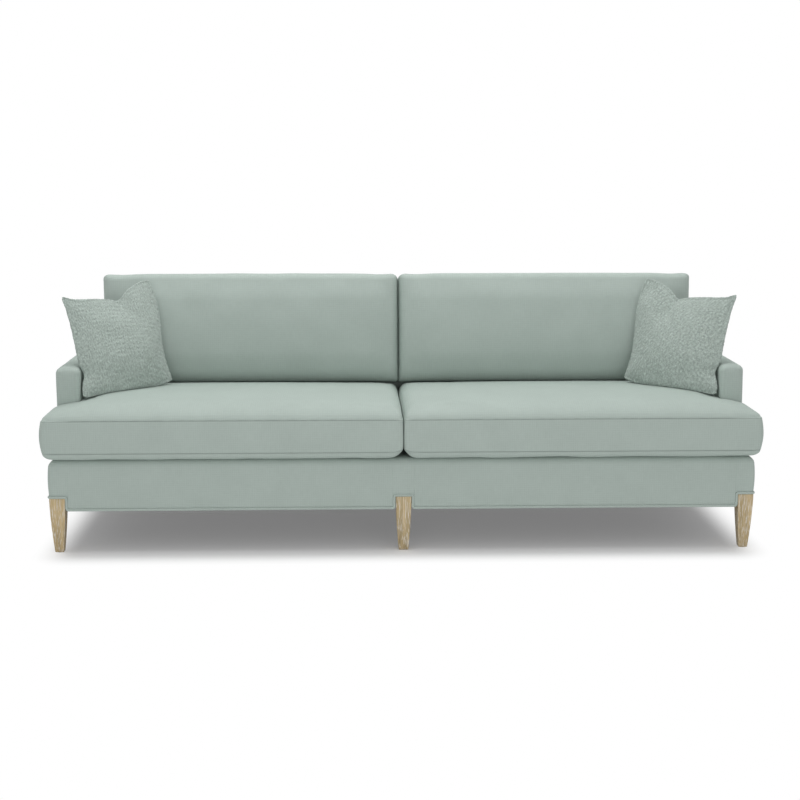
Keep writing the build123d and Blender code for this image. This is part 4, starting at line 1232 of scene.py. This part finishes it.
def make_legs(settings):
    """Square legs: a rounded square carried up a slow taper, closed below and stepped in to a neck."""
    foot, straight = leg_low.z - 0.0028, leg_high.z - 0.022
    half_top = (leg_high.x - leg_low.x) / 2
    belly, ease = 0.0016, 0.0016
    shoulder = leg_top - 0.0094
    rows = even(30)[:, None]
    half_foot = np.array([0.0148, 0.0165])  # corner legs, middle legs
    taper = half_foot + (half_top - half_foot) * rows + 4 * belly * rows * (1 - rows)
    upper = np.linspace(straight, shoulder - ease, 8)[1:]
    neck = 0.019
    heights = np.concatenate(
        (
            [foot, foot, foot + 0.4 * ease],
            foot + ease + (straight - foot - ease) * rows[:, 0],
            upper,
            [shoulder - 0.4 * ease, shoulder, shoulder, leg_top, leg_top],
        )
    )
    halves = np.concatenate(
        (
            [0.0 * half_foot, half_foot - ease, half_foot - 0.3 * ease],
            taper,
            half_top + 0 * upper[:, None] * half_foot,
            np.array([half_top - 0.3 * ease, half_top - ease, neck, neck, 0.0])[:, None] + 0 * half_foot,
        )
    )
    angle = np.concatenate([np.linspace(k, k + 1, 6) for k in range(4)] + [[0.0]]) * np.pi / 2
    quarter = np.concatenate([np.full(6, k) for k in range(4)] + [[0]])
    corner = np.pi / 4 + quarter * np.pi / 2
    radius = np.minimum(ease, halves)[..., None]
    spread = (halves[..., None] - radius) * math.sqrt(2.0)
    x = spread * np.cos(corner) + radius * np.cos(angle)
    y = spread * np.sin(corner) + radius * np.sin(angle)
    rings = stack(x, y, heights[:, None, None])
    for name in leg_names:
        low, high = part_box(name)
        middle = np.array([(low.x + high.x) / 2, (low.y + high.y) / 2, 0.0])
        leg, _ = mesh_object(f"{name}_oak", [Chart(rings[:, int("middle" in name)] + middle)])
        dress(leg, limed_oak(settings), "frame", "leg_oak", name)


# Materials


def shade(colour, factor):
    return tuple(min(1.0, c * factor) for c in colour)


class Nodes:
    """The node tree of a material or of the surround, with short ways to add nodes and join them."""

    def __init__(self, owner):
        owner.use_nodes = True
        self.owner, self.tree = owner, owner.node_tree
        self.shader = next(node for node in self.tree.nodes if node.type in ("BSDF_PRINCIPLED", "BACKGROUND"))

    def put(self, value, socket):
        """Joins another node's output to a socket, or sets the socket to plain numbers."""
        if isinstance(value, bpy.types.NodeSocket):
            self.tree.links.new(value, socket)
        elif socket.type == "RGBA":
            socket.default_value = (*value, 1.0)
        else:
            socket.default_value = value

    def add(self, kind, **values):
        """A node whose properties and sockets are set by name, in the order given."""
        node = self.tree.nodes.new(f"ShaderNode{kind}")
        for key, value in values.items():
            if hasattr(node, key):
                setattr(node, key, value)
            else:
                self.put(value, node.inputs[key.replace("_", " ")])
        return node

    def math(self, operation, *values):
        node = self.add("Math", operation=operation)
        for socket, value in zip(node.inputs, values):
            self.put(value, socket)
        return node.outputs[0]

    def total(self, *shares):
        """A sum of values, each times its own weight."""
        first, *others = [self.math("MULTIPLY", value, weight) for value, weight in shares]
        for term in others:
            first = self.math("ADD", first, term)
        return first

    def wave(self, value, turn):
        """The sine of a value times a number."""
        return self.math("SINE", self.math("MULTIPLY", value, turn))

    def place(self, source, scale=(1.0, 1.0, 1.0)):
        """Object or UV coordinates, scaled."""
        given = self.add("TexCoord").outputs[source]
        return self.add("Mapping", Vector=given, Scale=scale).outputs["Vector"]

    def noise(self, vector, scale=1.0, detail=2.0, roughness=0.5):
        node = self.add("TexNoise", Vector=vector, Scale=scale, Detail=detail, Roughness=roughness)
        return node.outputs["Fac"]

    def tint(self, amount, low, high):
        """A colour between two, evenly; either may be another node's output."""
        return self.add("Mix", data_type="RGBA", Factor=amount, A=low, B=high).outputs["Result"]

    def shades(self, amount, colour, low, high):
        """A colour times a factor between two, evenly."""
        return self.tint(amount, shade(colour, low), shade(colour, high))

    def spread(self, value, low, high, **kind):
        """A value's range from low to high carried to 0 to 1."""
        return self.add("MapRange", Value=value, From_Min=low, From_Max=high, **kind).outputs["Result"]

    def bump(self, height, distance, strength, **below):
        node = self.add("Bump", Strength=strength, Distance=distance, Height=height, **below)
        return node.outputs["Normal"]

    def seen(self):
        """1 for rays that come to the camera, straight, by a shiny face or through a clear one."""
        rays = self.add("LightPath").outputs
        either = self.math("MAXIMUM", rays["Is Camera Ray"], rays["Is Glossy Ray"])
        return self.math("MAXIMUM", either, rays["Is Transmission Ray"])

    def finish(self, **values):
        """Sets the shader's sockets by name and hands back the material or surround."""
        for key, value in values.items():
            self.put(value, self.shader.inputs[key.replace("_", " ")])
        return self.owner


def new_material(name):
    return Nodes(bpy.data.materials.new(name))


def once(make):
    """Makes a material the first time it is asked for, and hands back the same one after that."""
    made = []

    def get(settings):
        if not made:
            made.append(make(settings))
        return made[0]

    return get


check_repeat = 0.0074  # of the faint check in the sofa's fabric, in metres


@once
def body_fabric(settings):
    """Fine plain weave: threads over and under by the cloth's own coordinates, with slubs and dark seams."""
    nodes = new_material("body_fabric")
    fabric = settings.fabric_colour
    axes = nodes.add("SeparateXYZ", Vector=nodes.place("UV")).outputs[:2]
    weave = nodes.math("MULTIPLY", *(nodes.wave(axis, math.pi / settings.thread) for axis in axes))
    along = ((620.0, 26.0, 1.0), (26.0, 620.0, 1.0))
    slubs = nodes.math("ADD", *(nodes.noise(nodes.place("UV", scale)) for scale in along))
    cloud = nodes.noise(nodes.place("Object", (9.0, 9.0, 9.0)), 1.0, 3.0)
    checks = [(nodes.wave(axis, 2 * math.pi / check_repeat), 0.055) for axis in axes]
    mottle = nodes.total((slubs, 0.5), (cloud, 0.35), *checks)
    colour = nodes.shades(nodes.spread(mottle, 0.45, 0.90), fabric, 0.93, 1.07)
    # Painted shade: the seam attribute darkens the colour towards 0.35 of the fabric's, where shade falls in
    # a seam's groove.
    seam = nodes.add("Attribute", attribute_name="seam").outputs["Fac"]
    return nodes.finish(
        Base_Color=nodes.tint(nodes.math("MULTIPLY", seam, 0.7), colour, shade(fabric, 0.35)),
        Normal=nodes.bump(slubs, 0.00035, 0.45, Normal=nodes.bump(weave, 0.00022, 0.55)),
        Roughness=0.88,
        Specular_IOR_Level=0.18,
        Sheen_Weight=0.22,
        Sheen_Roughness=0.55,
        Sheen_Tint=shade(fabric, 1.6),
    )


@once
def boucle_fabric(settings):
    """Looped yarn: rounded cells of uneven size, paler on top and darker between them."""
    nodes = new_material("boucle_fabric")
    place_at = nodes.place("Object")
    scale = 1.0 / (settings.nub_size * 0.75)
    cells = nodes.add("TexVoronoi", feature="SMOOTH_F1", Vector=place_at, Scale=scale, Smoothness=0.35)
    lumps = nodes.math("SUBTRACT", 1.0, cells.outputs["Distance"])
    height = nodes.total((lumps, 1.0), (nodes.noise(place_at, 520.0, 3.0, 0.6), 0.5))
    raised = nodes.add("Attribute", attribute_name="loop").outputs["Fac"]
    # Painted light and shade: the colour follows the loops' height, paler where they stand high and darker in
    # the hollows between them.
    tone = nodes.spread(nodes.total((height, 0.5), (raised, 0.30)), 0.15, 0.85)
    return nodes.finish(
        Base_Color=nodes.shades(tone, settings.boucle_colour, 0.70, 1.14),
        Normal=nodes.bump(height, 0.0016, 0.6),
        Roughness=0.92,
        Specular_IOR_Level=0.15,
        Sheen_Weight=0.2,
        Sheen_Roughness=0.6,
    )


@once
def limed_oak(settings):
    """Oak with pale filler in its grain: long streaks up the leg and short open pores."""
    nodes = new_material("leg_oak")
    streaks = nodes.noise(nodes.place("Object", (150.0, 150.0, 5.0)), 1.0, 4.0, 0.6)
    pores = nodes.noise(nodes.place("Object", (420.0, 420.0, 16.0)), 1.0, 2.0, 0.6)
    figure = nodes.noise(nodes.place("Object", (34.0, 34.0, 2.4)), 1.0, 2.0, 0.5)
    grain = nodes.spread(nodes.total((streaks, 0.6), (figure, 0.4)), 0.38, 0.62)
    wood = nodes.shades(grain, settings.oak_colour, 0.66, 1.22)
    filled = nodes.math("MULTIPLY", nodes.spread(pores, 0.53, 0.63), 0.85)
    return nodes.finish(
        Base_Color=nodes.tint(filled, wood, (0.74, 0.69, 0.60)),
        Normal=nodes.bump(pores, 0.0003, 0.35),
        Roughness=0.55,
        Specular_IOR_Level=0.35,
    )


@once
def lining(settings):
    return plain_cloth("decking_cloth", shade(settings.fabric_colour, 0.82), 700.0)


def plain_cloth(name, colour, scale):
    """A plain cloth, felt or board: one colour with a fine even grain."""
    nodes = new_material(name)
    grain = nodes.noise(nodes.place("Object"), scale, 3.0, 0.6)
    return nodes.finish(
        Base_Color=nodes.shades(grain, colour, 0.85, 1.15),
        Normal=nodes.bump(grain, 0.0004, 0.5),
        Roughness=0.9,
        Specular_IOR_Level=0.2,
    )


def sawn_wood(name, colour):
    """Rough timber inside the frame: streaks that wander, and saw marks."""
    nodes = new_material(name)
    streaks = nodes.noise(nodes.place("Object", (60.0, 60.0, 60.0)), 1.0, 4.0, 0.65)
    marks = nodes.noise(nodes.place("Object", (12.0, 400.0, 12.0)), 1.0, 1.0)
    normal = nodes.bump(marks, 0.0004, 0.4)
    return nodes.finish(Base_Color=nodes.shades(streaks, colour, 0.8, 1.2), Normal=normal, Roughness=0.7)


def drawn_steel(name, colour):
    """Spring wire and fastenings: grey steel with a little unevenness in its shine."""
    nodes = new_material(name)
    patch = nodes.noise(nodes.place("Object", (80.0, 80.0, 80.0)), 1.0, 3.0)
    return nodes.finish(Base_Color=colour, Metallic=0.9, Roughness=nodes.spread(patch, -1.0, 2.2))


def make_finishes(settings):
    """Materials for the solids that stay: timber, springs, fastenings, webbing, card and glides."""
    finishes = {
        "frame_wood": sawn_wood("frame_wood", (0.52, 0.36, 0.20)),
        "spring_steel": drawn_steel("spring_steel", (0.30, 0.30, 0.31)),
        "webbing": plain_cloth("webbing", (0.30, 0.21, 0.12), 500.0),
        "card_liner": plain_cloth("card_liner", (0.36, 0.28, 0.19), 300.0),
        "glide_nylon": plain_cloth("glide_nylon", (0.16, 0.125, 0.08), 400.0),
    }
    steel = ("seat_springs", "spring_clips", "hanger_bolts", "threaded_inserts")
    special = {
        "back_webbing": "webbing",
        "outside_back_liner": "card_liner",
        "leg_glides": "glide_nylon",
        **{name: "spring_steel" for name in steel},
    }
    for thing in (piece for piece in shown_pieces() if piece.type == "MESH"):
        timber = not thing.data.materials or any(word in thing.name for word in ("rail", "post"))
        finish = special.get(thing.name, "frame_wood" if timber else None)
        if finish:
            thing.data.materials.clear()
            thing.data.materials.append(finishes[finish])


# Stage

floor_reach = 14.0
camera_place = (-0.1623, -5.4728, 1.3645)
camera_angle = math.radians(29.61)
camera_tilt, camera_turn = 0.1656, -0.0298  # below level and off square, in radians


def area_lamp(name, place_at, aim, size, power):
    """A large soft lamp turned towards a point."""
    data = bpy.data.lights.new(name, "AREA")
    data.shape = "RECTANGLE"
    data.size, data.size_y = size
    data.energy = power
    lamp = link(name, data)
    lamp.location = place_at
    lamp.rotation_euler = (Vector(aim) - Vector(place_at)).to_track_quat("-Z", "Y").to_euler()
    lamp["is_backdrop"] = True


def make_stage(settings):
    """A white floor that keeps the sofa's shadow, a white surround, three soft lamps and the camera."""
    scene = bpy.context.scene
    scene.view_settings.view_transform = "Standard"
    nodes = Nodes(bpy.data.worlds.new("surround"))
    strength = nodes.add("Mix", Factor=nodes.seen(), A=settings.sky, B=1.0).outputs["Result"]
    scene.world = nodes.finish(Color=(1.0, 1.0, 1.0), Strength=strength)

    mesh = bpy.data.meshes.new("floor")
    corners = [(x * floor_reach, y * floor_reach, 0) for x, y in ((-1, -1), (1, -1), (1, 1), (-1, 1))]
    mesh.from_pydata(corners, [], [(0, 1, 2, 3)])
    mesh.materials.append(floor_paper(settings))
    floor = link("floor", mesh)
    floor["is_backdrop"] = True

    area_lamp("key_lamp", (-0.2, 0.3, 4.4), (0.0, 0.0, 0.3), (4.5, 3.0), settings.key)
    area_lamp("front_lamp", (0.2, -6.0, 1.0), (0.0, 0.0, 0.4), (5.0, 1.6), settings.fill)
    area_lamp("rear_lamp", (0.4, 3.8, 3.6), (0.0, 0.3, 0.4), (4.0, 2.0), settings.rear)

    data = bpy.data.cameras.new("camera")
    data.sensor_fit = "HORIZONTAL"
    data.angle = camera_angle
    camera = link("camera", data)
    camera.location = camera_place
    camera.rotation_euler = (math.pi / 2 - camera_tilt, 0.0, camera_turn)
    scene.camera = camera
    camera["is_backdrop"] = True


def floor_paper(settings):
    """White paper that takes the sofa's shadow; away from the footprint it runs out into plain white."""
    nodes = new_material("floor_paper")
    axes = nodes.add("SeparateXYZ", Vector=nodes.place("Object")).outputs
    low, high = cad_box
    beyond = []
    for axis, within in ((0, 0.11), (1, 0.0)):
        middle, reach = (low[axis] + high[axis]) / 2, (high[axis] - low[axis]) / 2 - within
        off = nodes.math("ABSOLUTE", nodes.math("SUBTRACT", axes[axis], middle))
        past = nodes.math("MAXIMUM", nodes.math("SUBTRACT", off, reach), 0.0)
        beyond.append(nodes.math("MULTIPLY", past, past))
    distance = nodes.math("SQRT", nodes.math("ADD", *beyond))
    fade = nodes.spread(distance, settings.shadow_start, settings.shadow_end, interpolation_type="SMOOTHSTEP")
    seen = nodes.seen()
    white = settings.floor_white
    paper = nodes.finish(
        Base_Color=(white, white, white),
        Roughness=1.0,
        Specular_IOR_Level=0.0,
        Emission_Color=(1.0, 1.0, 1.0),
        Emission_Strength=nodes.math("MULTIPLY", seen, settings.floor_glow),
    )
    mixed = nodes.add("MixShader")
    shares = (nodes.math("MULTIPLY", fade, seen), nodes.shader.outputs[0], nodes.add("Emission").outputs[0])
    for socket, value in zip(mixed.inputs, shares):
        nodes.put(value, socket)
    output = next(node for node in nodes.tree.nodes if node.type == "OUTPUT_MATERIAL")
    nodes.put(mixed.outputs[0], output.inputs["Surface"])
    return paper


# Settings, operators and panel


def metres(label, words, default):
    return FloatProperty(name=label, description=words, default=default, unit="LENGTH")


def number(label, words, default):
    return FloatProperty(name=label, description=words, default=default)


def tone(label, words, default):
    return FloatVectorProperty(name=label, description=words, subtype="COLOR", default=default)


class SofaSettings(bpy.types.PropertyGroup):
    """Sizes and colours of the sofa's upholstery."""

    seam_depth: metres("Seam depth", "How deep a sewn seam sinks", 0.0008)
    seam_width: metres("Seam width", "Half width of a seam's groove", 0.0013)
    seam_lip: metres("Seam lip", "Rise of the cloth beside a seam", 0.0002)
    pucker: metres("Pucker", "Short gathers beside a seam", 0.0002)
    slack: metres("Slack", "Soft unevenness of a cushion's panels", 0.0011)
    cloth_pressure: number("Air pressure", "Pressure in the cloth trials", 4.0)
    seat_swell: metres("Seat swell", "Most that a seat cover moves", 0.010)
    back_swell: metres("Back swell", "Most that a back cover moves", 0.016)
    pillow_swell: metres("Pillow swell", "Most that a pillow moves", 0.029)
    nub_height: metres("Nub height", "Rise of the pillows' loops", 0.0010)
    nub_size: metres("Nub size", "Spacing of the pillows' loops", 0.0052)
    welt_radius: metres("Welt radius", "Half the welt's thickness", 0.0048)
    thread: metres("Thread", "Spacing of the weave's threads", 0.0014)
    fabric_colour: tone("Fabric", "Colour of the covers", (0.420, 0.488, 0.451))
    boucle_colour: tone("Looped fabric", "Colour of the pillows", (0.440, 0.511, 0.470))
    oak_colour: tone("Oak", "Colour of the legs", (0.48, 0.370, 0.205))


class StageSettings(bpy.types.PropertyGroup):
    """Light and floor."""

    sky: number("Sky", "Strength of the even light from all round", 0.50)
    key: number("Key lamp", "Power of the lamp above", 115.0)
    fill: number("Front lamp", "Power of the lamp in front", 72.0)
    rear: number("Rear lamp", "Power of the lamp behind", 9.0)
    floor_white: number("Floor", "How pale the floor is", 0.82)
    floor_glow: number("Floor glow", "Glow of the floor to the camera", 0.15)
    shadow_start: metres("Shadow start", "Where the floor begins to turn plain white", 0.0)
    shadow_end: metres("Shadow end", "Where the floor is plain white", 0.155)


def operator(name, label, words, make, group="sofa"):
    """An operator that makes one piece or one group of like pieces."""

    def execute(self, context):
        make(getattr(context.scene, group))
        return {"FINISHED"}

    return type(
        f"SOFA_OT_{name}",
        (bpy.types.Operator,),
        {"bl_idname": f"sofa.{name}", "bl_label": label, "__doc__": words, "execute": execute},
    )


operators = [
    operator("seat_cushions", "Seat cushions", "Makes both boxed seat cushions", make_seat_cushions),
    operator("back_cushions", "Back cushions", "Makes both loose back cushions", make_back_cushions),
    operator("throw_pillows", "Throw pillows", "Makes both looped pillows", make_throw_pillows),
    operator("base_cover", "Base", "Makes the padded front and sides of the base", make_base_cover),
    operator("arm_covers", "Arms", "Makes both arms", make_arm_covers),
    operator("back_cover", "Back", "Makes the raked back", make_back_cover),
    operator("deck", "Deck", "Stretches the lining cloth over the springs", make_deck),
    operator("dust_cover", "Dust cover", "Tacks the dust cover under the frame", make_dust_cover),
    operator("welt", "Welt", "Runs the welt along the skirt", make_welt),
    operator("legs", "Legs", "Makes the six legs", make_legs),
    operator("finishes", "Frame finishes", "Gives the inner solids their materials", make_finishes),
    operator("stage", "Stage", "Makes the floor, the light and the camera", make_stage, "sofa_stage"),
]


class SOFA_PT_panel(bpy.types.Panel):
    """Every setting, and a button for each step."""

    bl_idname = "SOFA_PT_panel"
    bl_label = "Sofa"
    bl_space_type = "VIEW_3D"
    bl_region_type = "UI"
    bl_category = "Sofa"

    def draw(self, context):
        for group in (context.scene.sofa, context.scene.sofa_stage):
            for name in group.__annotations__:
                self.layout.prop(group, name)
        for step in operators:
            self.layout.operator(step.bl_idname)


classes = [SofaSettings, StageSettings, *operators, SOFA_PT_panel]


def register():
    for item in classes:
        bpy.utils.register_class(item)
    bpy.types.Scene.sofa = PointerProperty(type=SofaSettings)
    bpy.types.Scene.sofa_stage = PointerProperty(type=StageSettings)


def unregister():
    del bpy.types.Scene.sofa_stage
    del bpy.types.Scene.sofa
    for item in reversed(classes):
        bpy.utils.unregister_class(item)


def main():
    register()
    for step in operators:
        getattr(bpy.ops.sofa, step.bl_idname.split(".")[1])()


if __name__ == "__main__":
    main()
